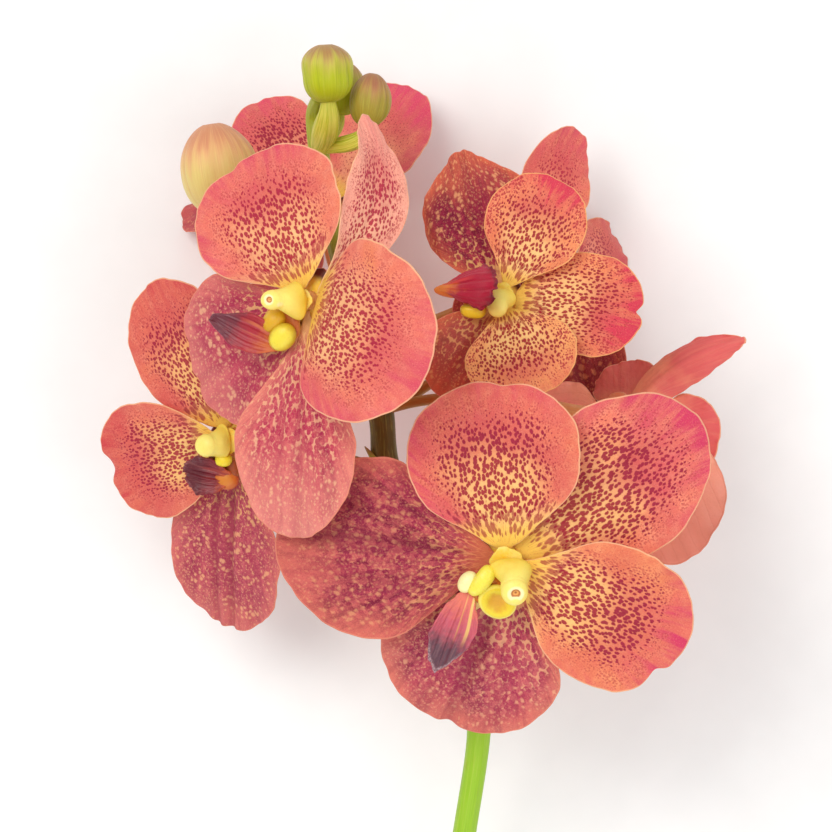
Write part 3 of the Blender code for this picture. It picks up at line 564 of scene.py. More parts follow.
def mesh_piece(name, points, faces, attributes, material):
    """An object at the origin from points in millimetres, moved with the whole spray, and its face blocks."""
    mesh = bpy.data.meshes.new(name)
    place = (points + np.array(SHIFT)) * MM
    listed = [face for block in faces for face in block.tolist()]
    mesh.from_pydata(place.tolist(), [], listed)
    for key, values in attributes.items():
        layer = mesh.attributes.new(name=key, type="FLOAT_VECTOR", domain="POINT")
        layer.data.foreach_set("vector", np.ascontiguousarray(values, dtype=np.float32).ravel())
    mesh.shade_smooth()
    mesh.update()
    mesh.materials.append(material)
    obj = bpy.data.objects.new(name, mesh)
    bpy.context.scene.collection.objects.link(obj)
    return obj


def dress(obj, node):
    """The piece rides on the spray's body and stands for its solid, which it hides."""
    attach(obj, "root")
    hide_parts(node)


def place_points(points, origin, axes):
    """Points of a piece's own frame, in millimetres, as points of the spray; origin is in metres."""
    return origin / MM + points @ np.stack(axes)


def steady_sweep(path, side_count, radius):
    """Rings round a path: at each point a circle of radius(t, azimuth) in the plane across the path.

    The rings' side direction is the one that the path leaves out, the last axis of its spread, so it never
    turns along the path.
    """
    path = np.asarray(path, float)
    tangent = np.gradient(path, axis=0)
    tangent = tangent / np.linalg.norm(tangent, axis=1, keepdims=True)
    centred = path - path.mean(axis=0)
    reference = np.linalg.svd(centred, full_matrices=True)[2][2]
    first = np.cross(tangent, reference)
    first = first / np.linalg.norm(first, axis=1, keepdims=True)
    second = np.cross(tangent, first)
    t = np.linspace(0.0, 1.0, len(path))[:, None]
    azimuth = np.linspace(0.0, 2.0 * np.pi, side_count, endpoint=False)[None, :]
    size = radius(t, azimuth)
    rings = path[:, None] + first[:, None] * (size * np.cos(azimuth))[..., None]
    rings = rings + second[:, None] * (size * np.sin(azimuth))[..., None]
    return rings, np.broadcast_to(t, size.shape), np.broadcast_to(azimuth, size.shape)


def spread(values, steps):
    """A smooth curve through the points of a table, by Catmull-Rom spans of that many steps."""
    p = np.asarray(values, float)
    p = np.concatenate([[2.0 * p[0] - p[1]], p, [2.0 * p[-1] - p[-2]]])
    t = np.arange(steps)[:, None] / steps
    spans = []
    for a, b, c, d in zip(p[:-3], p[1:-2], p[2:-1], p[3:]):
        spans.append(
            b + 0.5 * t * (c - a + t * (2.0 * a - 5.0 * b + 4.0 * c - d + t * (3.0 * (b - c) + d - a)))
        )
    return np.concatenate(spans + [p[-2:-1]])


# Blades: sepals, petals and the lip's tongue


def rippled(u, v, look):
    """Points of the unit disc moved in or out near its rim, so that the margin waves in its own plane: the
    radius times one plus a sum of sines of the polar angle, which fades with the sixth power of the radius.
    taper narrows the blade towards its tip and skew moves the tip aside."""
    psi = np.arctan2(u, v)
    seed = look["seed"]
    wave = np.sin(9.0 * psi + seed) + 0.7 * np.sin(17.0 * psi + 2.3 * seed)
    wave = wave + 0.5 * np.sin(31.0 * psi + 3.1 * seed)
    scale = 1.0 + look["ripple"] * wave * np.hypot(u, v) ** 6
    narrow = 1.0 - look["taper"] * ramp(v, -1.0, 1.0)
    return u * scale * narrow + look["skew"] * ramp(v, -0.7, 1.0), v * scale


def fold_depth(u, along, look):
    """How deep the lengthwise folds are: a sum of bell curves across the blade. The finishes also paint this
    depth as shade in the creases.
    """
    depth = np.zeros_like(u)
    for at, deep, wide in look["folds"]:
        depth = depth + deep * np.exp(-(((u - at) / wide) ** 2))
    return depth * ramp(along, 0.08, 0.35) * (1.0 - 0.5 * along)


def blade_relief(b, u, v, look):
    """How far the fine surface stands off the plain blade: veins along it, folds beside its middle line, a
    finer ruffle at its margin and soft dents, as sums of cosines, in millimetres."""
    _, along, rho, psi = blade_outline(b, u, v)
    inside = 1.0 - ramp(rho, 0.86, 1.0)
    lifted = look["veins"] * np.cos(2.0 * np.pi * VEIN_COUNT * 0.5 * u) * ramp(along, 0.05, 0.3) * inside
    lifted = lifted - fold_depth(u, along, look)
    seed = look["seed"]
    lifted = lifted + look["margin"] * rho ** 7 * np.sin(11.0 * psi + seed) * ramp(along, 0.25, 0.6)
    finer = 0.55 * look["margin"] * rho ** 9 * np.sin(23.0 * psi + 2.1 * seed)
    lifted = lifted + finer * ramp(along, 0.25, 0.6)
    x = u * b["width"] / 2.0
    y = along * b["length"]
    dents = np.sin(0.31 * x + 0.7 * np.sin(0.23 * y + seed) + seed) * np.sin(0.27 * y + 1.7 * seed)
    dents = dents + 0.5 * np.sin(0.72 * x - 0.4 * y + 3.0 * seed) * np.sin(0.5 * y + 0.2 * x + seed)
    return lifted + look["dents"] * dents * inside * ramp(along, 0.1, 0.3)


def blade_grid(b, cells, look, half_scale=1.0):
    """Points, faces and attributes of one thin blade in its own frame.

    Front and back are the blade's surface moved along its normal by half the thickness, which thins towards
    the margin; a ring between them, a little outside, rounds the margin.
    """
    line = np.linspace(-1.0, 1.0, cells + 1)
    s, t = np.meshgrid(line, line)
    flat_u, flat_v = disc(s, t)
    u, v = rippled(flat_u, flat_v, look)
    step = 0.004
    middle = blade_surface(b, u, v)
    du = blade_surface(b, u + step, v) - blade_surface(b, u - step, v)
    dv = blade_surface(b, u, v + step) - blade_surface(b, u, v - step)
    normal = np.cross(du, dv)
    normal = normal / np.maximum(np.linalg.norm(normal, axis=-1, keepdims=True), 1e-9)
    _, along, rho, _ = blade_outline(b, u, v)
    middle = middle + normal * blade_relief(b, u, v, look)[..., None]
    half = HALF_MIDDLE + (HALF_MARGIN - HALF_MIDDLE) * ramp(rho, 0.55, 1.0)
    half = half_scale * (half + HALF_CLAW * (1.0 - ramp(along, 0.05, 0.25)) * (1.0 - ramp(rho, 0.7, 1.0)))
    front = middle + normal * half[..., None]
    back = middle - normal * half[..., None]
    n = cells + 1
    order = np.concatenate([
        np.arange(0, n - 1),
        np.arange(0, n - 1) * n + n - 1,
        n * n - 1 - np.arange(0, n - 1),
        (n - 1 - np.arange(0, n - 1)) * n,
    ])
    flat = middle.reshape(-1, 3)
    outer = (u / np.maximum(rho, 1e-6))[..., None] * du + (v / np.maximum(rho, 1e-6))[..., None] * dv
    outer = outer.reshape(-1, 3)[order]
    outer = outer / np.maximum(np.linalg.norm(outer, axis=-1, keepdims=True), 1e-9)
    ring = flat[order] + outer * MARGIN_ROUND * half_scale
    points = np.concatenate([front.reshape(-1, 3), back.reshape(-1, 3), ring])
    quads = grid_quads(n, n)
    after = np.roll(np.arange(len(order)), -1)
    rim = 2 * n * n + np.arange(len(order))
    front_rim = np.stack([order, rim, rim[after], order[after]], axis=-1)
    back_rim = np.stack([rim, n * n + order, n * n + order[after], rim[after]], axis=-1)
    faces = [quads, quads[:, ::-1] + n * n, front_rim, back_rim]
    # far is 0 on the middle line below the blade's widest place and at its middle, and 1 on the margin.
    across = np.abs(flat_u) / np.sqrt(np.maximum(1.0 - flat_v ** 2, 1e-4))
    far = np.where(flat_v < 0.0, np.minimum(across, 1.0), np.minimum(np.hypot(flat_u, flat_v), 1.0))
    fan = np.clip(flat_u / (flat_v + 1.08), -2.5, 2.5)
    seed = look["seed"]
    flush = ramp(look["blush"] * flat_u + 0.15 * far, 0.3, 1.0) * ramp(far, 0.5, 1.0)
    even = 0.0 * u
    x = u * b["width"] / 2.0 + 43.0 * seed
    y = along * b["length"] + 29.0 * seed
    fields = {
        "grow": (x, y, look["lift"] + even),
        "zone": (along, far, 1.0 + even),
        "lay": (u, v, look["spots"] + even),
        "fan": (fan, along, 7.0 * seed + even),
        # tone's last part is the folds' depth, which the finishes paint as shade in the creases.
        "tone": (flush, look["tip"] + even, fold_depth(u, along, look)),
    }
    attributes = {}
    for key, values in fields.items():
        front_values = np.stack(values, axis=-1).reshape(-1, 3)
        back_values = front_values.copy()
        rim_values = front_values[order].copy()
        if key == "zone":
            back_values[:, 2] = 0.0
            rim_values[:, 2] = 0.6
        attributes[key] = np.concatenate([front_values, back_values, rim_values])
    return points, faces, attributes


# How each blade is modelled and coloured beyond its solid's shape. veins, margin and dents are heights; folds
# are lines along it: place, depth and width, and their depth is also painted as shade in the creases; ripple
# is how much its margin waves in its own plane, taper how much it narrows and skew how far its tip moves
# aside; blush is how much its left (-) or right (+) margin is flushed, tip how much its tip is, spots how
# spotted a petal is and how strong the painted pale highlight of a lateral sepal is, lift how much paler it
# is, partly its own paler tone and partly painted light on blades that lie in shade, and seed sets its
# noise apart.
LOOK = dict(
    veins=0.035, folds=(), margin=0.24, dents=0.24, ripple=0.0035, taper=0.0, skew=0.0, blush=0.0,
    tip=0.5, spots=1.0, lift=0.0, seed=1.0,
)
LOOKS = {
    "bloom_1_dorsal_sepal": dict(dents=0.35, folds=((0.0, 0.35, 0.16),), blush=-0.7, tip=1.3),
    "bloom_1_lateral_sepal_left": dict(
        folds=((0.05, 0.8, 0.12), (-0.35, 0.35, 0.1), (0.45, 0.35, 0.1)), dents=0.5,
    ),
    "bloom_1_lateral_sepal_right": dict(
        folds=((0.0, 1.1, 0.09), (-0.4, 0.35, 0.1), (0.35, 0.4, 0.12)), dents=0.45,
    ),
    "bloom_1_petal_left": dict(margin=0.3, dents=0.3, blush=-1.0, tip=0.5),
    "bloom_1_petal_right": dict(margin=0.35, dents=0.35, blush=0.5, tip=1.1),
    "bloom_2_dorsal_sepal": dict(tip=0.3, lift=0.75),
    # On a lateral sepal, spots sets how strong the painted pale highlight is.
    "bloom_2_lateral_sepal_left": dict(folds=((0.0, 0.5, 0.12), (-0.4, 0.3, 0.1)), spots=0.35),
    "bloom_2_lateral_sepal_right": dict(folds=((0.0, 0.5, 0.1), (0.3, 0.2, 0.1)), dents=0.35),
    "bloom_2_petal_left": dict(blush=-0.8, tip=0.9, margin=0.3),
    "bloom_2_petal_right": dict(blush=0.9, tip=0.7, margin=0.3),
    "bloom_3_dorsal_sepal": dict(tip=1.7, blush=0.3),
    "bloom_3_lateral_sepal_right": dict(lift=0.35),
    "bloom_3_petal_left": dict(blush=-0.6, tip=1.5),
    "bloom_3_petal_right": dict(lift=0.7),
    "bloom_4_dorsal_sepal": dict(blush=-0.5, tip=0.9),
    "bloom_4_lateral_sepal_left": dict(folds=((-0.05, 1.3, 0.07), (0.22, 1.2, 0.06), (-0.5, 0.3, 0.1))),
    "bloom_4_petal_left": dict(blush=0.4, tip=1.0),
    "bloom_5_dorsal_sepal": dict(tip=1.0, lift=0.35),
    "bloom_5_lateral_sepal_left": dict(lift=1.0),
    "bloom_5_petal_left": dict(lift=0.3),
    "bloom_5_petal_right": dict(lift=0.6),
    "bloom_6_dorsal_sepal": dict(tip=1.5, blush=0.9, spots=0.3),
    "bloom_6_petal_left": dict(tip=1.0, blush=-0.6),
    "bloom_7_dorsal_sepal": dict(tip=0.8, spots=0.85),
}


# The folds of a lateral sepal that has none of its own.
LATERAL_FOLDS = ((0.0, 0.45, 0.12), (0.4, 0.2, 0.12), (-0.4, 0.2, 0.12))


def build_blades(finishes):
    """Every sepal and petal of the seven blooms."""
    for number, bloom in enumerate(BLOOMS):
        cells = FINE_CELLS[bloom["name"]] // 1
        for count, (part, values, radius, height) in enumerate(bloom_blades(bloom)):
            node = bloom["name"] + "_" + part
            look = dict(LOOK)
            look["seed"] = 1.0 + 0.37 * number + 1.13 * count
            if "lateral" in part:
                look["folds"] = LATERAL_FOLDS
            look.update(LOOKS.get(node, {}))
            points, faces, attributes = blade_grid(values, cells, look)
            origin, across, along, forward = blade_frame(bloom, bloom_axes(bloom), values, radius, height)
            points = place_points(points, origin, (across, along, forward))
            kind = "lateral" if "lateral" in part else "petal"
            finish = finishes.get(node, finishes[bloom["name"], kind])
            obj = mesh_piece(node + "_fine", points, faces, attributes, finish)
            dress(obj, node)


# Lips


def egg_parts(at, half, lean, grid, shape):
    """An egg in the lip's frame: x across, y towards the lip, z forward, as shape(direction) times the
    half-axes; lean turns it about y, in degrees, and grid is its segments round and its rings."""
    segments, rings = grid
    height = np.linspace(0.0, np.pi, rings + 1)[1:-1, None]
    azimuth = np.linspace(0.0, 2.0 * np.pi, segments, endpoint=False)[None, :]
    direction = np.stack([
        np.sin(height) * np.cos(azimuth),
        np.sin(height) * np.sin(azimuth),
        -np.cos(height) + 0.0 * azimuth,
    ], axis=-1)
    body = shape(direction) * np.array(half)
    poles = [shape(np.array([[0.0, 0.0, end]]))[0] * np.array(half) for end in (-1.0, 1.0)]
    angle = math.radians(lean)
    turn = np.array([
        [math.cos(angle), 0.0, math.sin(angle)],
        [0.0, 1.0, 0.0],
        [-math.sin(angle), 0.0, math.cos(angle)],
    ])
    points, faces = tube_parts(body, poles[0], poles[1])
    points = points @ turn.T + np.array(at)
    up = np.concatenate([direction[..., 2].ravel(), [-1.0, 1.0]])
    return points, faces, up


def flap_shape(direction):
    """A side lobe that is seen from its edge: an egg, wider towards the lip's end, with a shallow furrow."""
    x, y, z = direction[..., 0], direction[..., 1], direction[..., 2]
    wide = 0.92 + 0.16 * y
    furrow = 0.26 * np.exp(-(((x + 0.35 * y) / 0.22) ** 2)) * ramp(z, -0.2, 0.6)
    return np.stack([x * wide, y * (1.0 + 0.06 * z), z * (1.0 - 0.1 * y) - furrow], axis=-1)


def cup_shape(direction):
    """The side lobe that is seen from its front: an egg with a deep hollow in its face and a raised rim."""
    x, y, z = direction[..., 0], direction[..., 1], direction[..., 2]
    across = np.sqrt(x ** 2 + y ** 2)
    hollow = 0.75 * np.exp(-((across / 0.62) ** 4)) * (z > 0.0)
    return np.stack([x * 1.04, y * 1.04, z - hollow], axis=-1)


def plain_shape(direction):
    """A plain egg."""
    return direction


def slab_shape(direction):
    """A side lobe that is seen from its edge: a thick smooth leaf with blunt ends, a little bent."""
    x, y, z = direction[..., 0], direction[..., 1], direction[..., 2]
    long = np.sign(y) * np.abs(y) ** 0.75
    wide = np.sign(x) * np.abs(x) ** 0.8 * (1.0 - 0.12 * y)
    return np.stack([wide + 0.16 * y * y, long, np.sign(z) * np.abs(z) ** 0.85], axis=-1)


def throat_shape(direction):
    """The throat: an egg with a deep cup in its front."""
    z = direction[..., 2]
    cup = 0.7 * np.exp(-(direction[..., 0] ** 2 + direction[..., 1] ** 2) / 0.25) * (z > 0.0)
    return direction - np.stack([0.0 * z, 0.0 * z, cup], axis=-1)


def lip_part(points, faces, part, amounts):
    """Attributes for one part of a lip: which part it is and how far forward on it."""
    count = len(points)
    lay = np.zeros((count, 3))
    lay[:, 2] = part
    lay[:, 0] = amounts
    blank = np.zeros((count, 3))
    return points, faces, {"grow": points.copy(), "zone": blank, "lay": lay, "fan": blank, "tone": blank}


# Which part of the lip's finish a piece takes.
TONGUE_PART, FLAP, CUP, THROAT_PART, SPUR_PART, NUB, LOBE = 0.0, 1.0, 2.0, 3.0, 4.0, 5.0, 6.0
# The ears of each lip: shape, place and half-axes in the lip's frame, lean and part of the finish.
EARS = {
    "bloom_1": (
        (slab_shape, (2.3, 6.4, 1.9), (1.95, 4.0, 2.2), 18.0, FLAP),
        (plain_shape, (4.7, 8.6, 1.1), (2.0, 2.7, 1.7), 24.0, NUB),
        (cup_shape, (-3.4, 8.4, 1.2), (4.4, 3.7, 1.9), -8.0, CUP),
    ),
    "bloom_2": (
        (plain_shape, (1.7, 8.4, 1.1), (2.5, 3.1, 2.4), 10.0, FLAP),
        (plain_shape, (-2.5, 9.2, 2.0), (2.9, 3.6, 2.1), -14.0, LOBE),
    ),
    "bloom_3": (
        (flap_shape, (2.6, 8.0, 1.2), (1.8, 3.8, 2.2), 20.0, FLAP),
        (slab_shape, (-4.9, 7.6, 1.5), (2.1, 3.8, 2.3), -24.0, LOBE),
    ),
    "bloom_4": (
        (flap_shape, (2.6, 6.6, 0.5), (1.6, 2.8, 1.5), 20.0, FLAP),
        (slab_shape, (-0.4, 5.0, 1.7), (2.2, 1.7, 2.0), -8.0, NUB),
        (plain_shape, (-1.7, 10.2, 0.4), (3.4, 2.8, 1.7), -10.0, CUP),
    ),
}


def lip_ears(name):
    """The bloom's own ears, or the two plain ones."""
    right = (flap_shape, EAR["at"], EAR["half"], EAR["lean"], FLAP)
    left = (flap_shape, (-EAR["at"][0], *EAR["at"][1:]), EAR["half"], -EAR["lean"], CUP)
    return EARS.get(name, (right, left))


# Folds of a tongue: its keels, for a depth of 1, and the shallow grooves beside them.
KEEL_FOLDS = ((0.0, 0.6, 0.1), (0.2, -1.0, 0.07), (-0.2, -1.0, 0.07))
SIDE_GROOVES = ((0.42, 0.2, 0.12), (-0.42, 0.2, 0.12))
# How each tongue differs: how ragged its margin is, how it narrows, where its tip goes and how deep its keels
# are.
TONGUE = dict(ripple=0.01, taper=0.0, skew=0.0, keels=0.8)
TONGUES = {
    "bloom_1": dict(ripple=0.02, taper=0.34, skew=0.15, keels=0.45),
    "bloom_2": dict(ripple=0.002, taper=0.4, skew=-0.34, keels=0.2),
    "bloom_3": dict(ripple=0.022, keels=0.3),
    "bloom_4": dict(ripple=0.03, keels=0.5),
}


def build_lips(finishes):
    """Every lip: a keeled tongue, its ears, the throat between them and the spur behind."""
    for number, bloom in enumerate(BLOOMS):
        name = bloom["name"]
        size = bloom["size"]
        values = lip_values(bloom)
        cells = LIP_CELLS[0 if number < OPEN_BLOOMS else 1] // 1
        look = dict(LOOK, veins=0.05, margin=0.3, dents=0.2, seed=0.6 + 0.83 * number)
        tongue = dict(TONGUE, **TONGUES.get(name, {}))
        keels = tongue.pop("keels")
        look.update(tongue)
        look["folds"] = tuple((at, deep * keels, wide) for at, deep, wide in KEEL_FOLDS) + SIDE_GROOVES
        points, faces, attributes = blade_grid(values, cells, look, half_scale=TONGUE_SCALE)
        origin, across, along, forward = lip_frame(bloom, values)
        points = place_points(points, origin, (across, along, forward))
        attributes["lay"][:, 2] = TONGUE_PART
        parts = [(points, faces, attributes)]
        axes = lip_axes(bloom)
        centre = np.asarray(bloom["centre"], float) * MM
        spur = bloom.get("spur", SPUR)
        eggs = [(EAR_GRID, *ear) for ear in lip_ears(name)]
        eggs.append((THROAT_GRID, throat_shape, THROAT["at"], THROAT["half"], 0.0, THROAT_PART))
        eggs.append((SPUR_GRID, plain_shape, spur["at"], spur["half"], 0.0, SPUR_PART))
        for grid, shape, at, half, lean, part in eggs:
            points, faces, up = egg_parts(np.array(at) * size, np.array(half) * size, lean, grid, shape)
            parts.append(lip_part(place_points(points, centre, axes), faces, part, up))
        points, faces, attributes = merged(parts)
        obj = mesh_piece(name + "_lip_fine", points, faces, attributes, finishes[name, "lip"])
        dress(obj, name + "_lip")


# Columns

# The fine column: its radii above its foot, how far each of those places and the cap are moved aside, how
# much of the plain length it has, and where its pits are in the column's frame and how wide.
COLUMN_KIND = dict(waist=(3.5, 3.0, 2.8), aside=(0.0, 0.0, 0.0), reach=1.0, pits=((0.0, 0.7, 10.2, 1.0),))
COLUMN_KINDS = {
    "bloom_1": dict(waist=(3.6, 3.2, 3.0), aside=(-1.0, -1.3, -0.9), pits=((-1.1, 0.8, 10.2, 1.0),)),
    "bloom_2": dict(
        waist=(3.4, 2.9, 2.2), aside=(0.0, 0.4, 0.9), reach=0.92,
        pits=((1.1, 0.6, 9.7, 0.7), (-1.2, -2.0, 8.0, 1.0)),
    ),
    "bloom_3": dict(waist=(3.8, 3.3, 2.9), reach=0.8, pits=()),
    "bloom_4": dict(waist=(3.4, 3.2, 2.9), aside=(-0.5, -0.8, -1.0), reach=0.76, pits=()),
}


# Sides of the fine column, steps between the rows of its table, and rings of its cap.
COLUMN_SIDES = 44
COLUMN_STEPS = 10
CAP_RINGS = 22
# A pit: its half-axes at size 1, how deep it is pressed, how high its rim is, and the distance from it, in
# half-axes, that counts as far.
PIT_HALF = (1.25, 1.15, 1.15)
PIT_DEPTH = 0.9
PIT_RIM = 0.16
PIT_FAR = 4.0
# The fine foot: how much of the solid's half-axes its dome has, and the pad's radius at size 1, half
# thickness and place along the bloom's axis; and their numbers in the finish.
DOME_SHARE = (1.0, 0.95, 0.36)
PAD_RADIUS = 7.2
PAD_HALF = 0.7
PAD_AT = -3.7
DOME_PART, PAD_PART = 1.0, 2.0


def foot_parts(bloom):
    """The column's foot: a low dome over the receptacle, with five shallow furrows towards the blades, and a
    flat pad under the claws that closes the space between them."""
    at, half = foot_shape(bloom)
    half = [h * share for h, share in zip(half, DOME_SHARE)]
    pad = PAD_RADIUS * bloom["size"]

    def shape(direction):
        turn = np.arctan2(direction[..., 0], direction[..., 1])
        across = np.hypot(direction[..., 0], direction[..., 1])
        lobes = 1.0 + 0.06 * np.cos(5.0 * turn) * across + 0.02 * np.cos(13.0 * turn) * across
        rise = 1.0 - 0.1 * np.cos(10.0 * turn) * across * (1.0 - across)
        return direction * np.stack([lobes, lobes, rise], axis=-1)

    centre = np.asarray(bloom["centre"], float) * MM
    parts = []
    for place, size, part in ((at, half, DOME_PART), ((0.0, 0.0, PAD_AT), (pad, pad, PAD_HALF), PAD_PART)):
        points, faces, up = egg_parts(place, size, 0.0, FOOT_GRID, shape)
        zone = np.ones((len(points), 3))
        zone[:, 0] = np.hypot(points[:, 0] - place[0], points[:, 1] - place[1]) / size[0]
        zone[:, 2] = np.where(up < 0.0, part + 0.5, part)
        placed = place_points(points, centre, bloom_axes(bloom))
        parts.append((placed, faces, {"grow": points.copy(), "zone": zone}))
    return parts


def build_columns(finish):
    """Every column: its foot, and a tube along its middle line that narrows to the anther cap, with shoulders
    on its sides and its own pits pressed into the cap's face."""
    for bloom in BLOOMS:
        size = bloom["size"]
        kind = dict(COLUMN_KIND, **COLUMN_KINDS.get(bloom["name"], {}))
        rows = np.array(COLUMN) * size
        rows[0, 2] = COLUMN[0][2]
        rows[2:, 3] = np.array(kind["waist"]) * size
        rows[2:, 0] = np.array(kind["aside"]) * size
        rows[2:, 1:3] *= kind["reach"]
        line = spread(rows, COLUMN_STEPS)
        cap = (np.array(CAP["at"]) * kind["reach"] + np.array([kind["aside"][2], 0.0, 0.0])) * size
        cap_half = np.array(CAP["half"]) * size
        top = line[-1, :3]
        t = np.linspace(0.0, 1.0, CAP_RINGS)[1:, None]
        dome = top + (cap + np.array([0.0, 0.3, 0.95]) * cap_half - top) * t
        swell = line[-1, 3] + 0.12 * size * np.sin(np.pi * t)
        dome_radius = np.sqrt(np.maximum(1.0 - t ** 3.0, 0.0)) * swell
        path = np.concatenate([line[:, :3], dome[:-1]])
        radii = np.concatenate([line[:, 3], dome_radius[:-1, 0]])
        azimuth = np.linspace(0.0, 2.0 * np.pi, COLUMN_SIDES, endpoint=False)[None, :]
        index = np.arange(len(path))[:, None]
        wing = 1.0 + 0.26 * np.cos(2.0 * azimuth) * (1.0 - ramp(index, 12.0, 36.0)) * ramp(index, 2.0, 10.0)
        hollow = 1.0 - 0.1 * np.exp(-(((azimuth - 0.5 * np.pi) / 0.5) ** 2)) * (1.0 - ramp(index, 30.0, 42.0))
        seam = 1.0 - 0.03 * np.exp(-(((index - len(line) - 3.0) / 1.3) ** 2))
        size_at = radii[:, None] * wing * seam * hollow
        rings = np.stack([size_at * np.cos(azimuth), size_at * np.sin(azimuth), 0.0 * size_at], axis=-1)
        rings = path[:, None] + rings
        apart = np.full(rings.shape[:2], PIT_FAR)
        pressed = np.zeros_like(rings)
        for x, y, z, wide in kind["pits"]:
            pit = np.array([x, y, z]) * size
            own = np.linalg.norm((rings - pit) / (np.array(PIT_HALF) * size * wide), axis=-1)
            inward = pit - np.array([0.0, 0.0, 3.0]) - rings
            inward = inward / np.linalg.norm(inward, axis=-1, keepdims=True)
            press = PIT_DEPTH * np.exp(-own ** 2) - PIT_RIM * np.exp(-(((own - 1.35) / 0.3) ** 2))
            pressed = pressed + inward * press[..., None] * size * wide
            apart = np.minimum(apart, own)
        rings = rings + pressed
        points, faces = tube_parts(rings, path[0], dome[-1] - np.array([0.0, 0.0, 0.02]))
        zone = np.zeros((len(points), 3))
        place = np.broadcast_to(index / (len(path) - 1.0), apart.shape)
        zone[:, 0] = np.concatenate([place.ravel(), [0.0, 1.0]])
        zone[:, 1] = np.concatenate([apart.ravel() / PIT_FAR, [1.0, 0.5]])
        placed = place_points(points, np.asarray(bloom["centre"], float) * MM, column_axes(bloom))
        tube = (placed, faces, {"grow": points.copy(), "zone": zone})
        points, faces, attributes = merged([tube] + foot_parts(bloom))
        obj = mesh_piece(bloom["name"] + "_column_fine", points, faces, attributes, finish)
        dress(obj, bloom["name"] + "_column")


# Buds

# Which colours a bud has, from lime at 0 through olive to peach at 1.
BUD_TINTS = {"bud_tip": 0.0, "bud_end": 0.33, "bud_olive": 0.66, "bud_cream": 1.0}
# How far a bud swells into a barrel, and the rows and columns of its grid.
BUD_BARRELS = {"bud_tip": 1.0}
BUD_GRID = (72, 96)


def build_buds(finish):
    """Every bud: its egg with three sepals folded over each other, shallow seams where they meet, lengthwise
    ridges, and a blunt, slightly pinched tip."""
    for bud in BUDS:
        rows, columns = BUD_GRID
        height = np.linspace(0.0, 1.0, rows + 1)[1:-1, None]
        azimuth = np.linspace(0.0, 2.0 * np.pi, columns, endpoint=False)[None, :]
        body = bud_surface(bud, azimuth + 0.0 * height, height + 0.0 * azimuth)
        arch = np.sin(np.pi * height)
        seam = np.exp(-((np.sin(1.5 * azimuth + 0.5 + 0.5 * height) / 0.08) ** 2)) * arch ** 0.6
        ridge = np.abs(np.sin(4.5 * azimuth + 1.0)) ** 0.6 * arch
        fibre = 0.4 * np.cos(24.0 * azimuth + 2.0 * np.sin(5.0 * height)) + 0.3 * np.cos(39.0 * azimuth + 1.0)
        inset = 0.3 * seam + 0.04 * fibre * arch + 0.22 * (1.0 - ridge) * arch
        radial = body * np.array([1.0, 1.0, 0.0])
        length = np.maximum(np.linalg.norm(radial, axis=-1, keepdims=True), 1e-6)
        barrel = BUD_BARRELS.get(bud["name"], 0.0)
        blunt = 1.0 + barrel * (0.15 * ramp(height, 0.45, 0.88) - 0.07 * arch ** 2)
        body = body - radial / length * np.minimum(inset[..., None], 0.4 * length)
        body = body * np.stack([blunt, blunt, np.ones_like(blunt)], axis=-1)
        points, faces = tube_parts(body, (0.0, 0.0, 0.0), (0.0, 0.0, bud["length"] - 0.25))
        way = unit(bud["to"])
        side = unit(np.cross(way, (0.0, 0.0, 1.0)))
        placed = place_points(points, np.asarray(bud["base"], float) * MM, (side, np.cross(way, side), way))
        zone = np.zeros((len(points), 3))
        zone[:, 0] = np.clip(points[:, 2] / bud["length"], 0.0, 1.0)
        zone[:, 1] = np.concatenate([(seam + 0.5 * (1.0 - ridge)).ravel(), [0.0, 0.0]])
        zone[:, 2] = BUD_TINTS[bud["name"]]
        lay = np.zeros((len(points), 3))
        lay[:, 0] = np.concatenate([(0.0 * height + azimuth / (2.0 * np.pi)).ravel(), [0.0, 0.0]])
        turn = 2.0 * np.pi * lay[:, 0]
        round_it = bud["width"] * np.stack([np.cos(turn), np.sin(turn)], axis=-1)
        grow = np.concatenate([round_it, 0.25 * points[:, 2:]], axis=-1)
        attributes = {"grow": grow, "zone": zone, "lay": lay}
        obj = mesh_piece(bud["name"] + "_fine", placed, faces, attributes, finish)
        dress(obj, bud["name"])


# Stem

# Where the fine rachis ends, inside the topmost bud.
RACHIS_TOP = (-23.9, 118.5, 56.5, 1.6)
# Rings of the cut face: the share of its radius, and how far out each one stands.
CUT_RINGS = ((0.3, 0.22), (0.8, 0.2), (0.94, 0.1))
# Which part of the stem's finish a tube takes; the finish tells them apart by these numbers.
RACHIS_KIND, STALK_KIND, BUD_STALK_KIND, BRACT_KIND = 0.0, 1.0, 1.5, 2.0
# From this place along the rachis on, its bracts are slimmer and shorter.
UPPER_BRACTS = 12.0
# Sides of the rachis and steps between the rows of its table, sides of a stalk, and rows and columns of a
# bract.
RACHIS_SIDES = 48
RACHIS_STEPS = 14
STALK_SIDES = 36
BRACT_GRID = (20, 26)
# The rod in which the stem's patterns are made: the length that stands for the rachis, and its radius.
GRAIN_LENGTH = 250.0
GRAIN_RADIUS = 4.0


def stalk_attributes(t, azimuth, kind, reach):
    """Attributes of a stem tube and its two poles: zone holds the place along it, its kind and nothing; lay
    its azimuth; grow its place in a straight rod of that length."""
    count = t.size + 2
    zone = np.zeros((count, 3))
    zone[:-2, 0] = t.ravel()
    zone[-1, 0] = 1.0
    zone[:, 1] = kind
    lay = np.zeros((count, 3))
    lay[:-2, 0] = azimuth.ravel() / (2.0 * np.pi)
    grow = np.zeros((count, 3))
    grow[:, 0] = np.cos(2.0 * np.pi * lay[:, 0]) * GRAIN_RADIUS
    grow[:, 1] = np.sin(2.0 * np.pi * lay[:, 0]) * GRAIN_RADIUS
    grow[:, 2] = zone[:, 0] * reach
    return {"grow": grow, "zone": zone, "lay": lay}


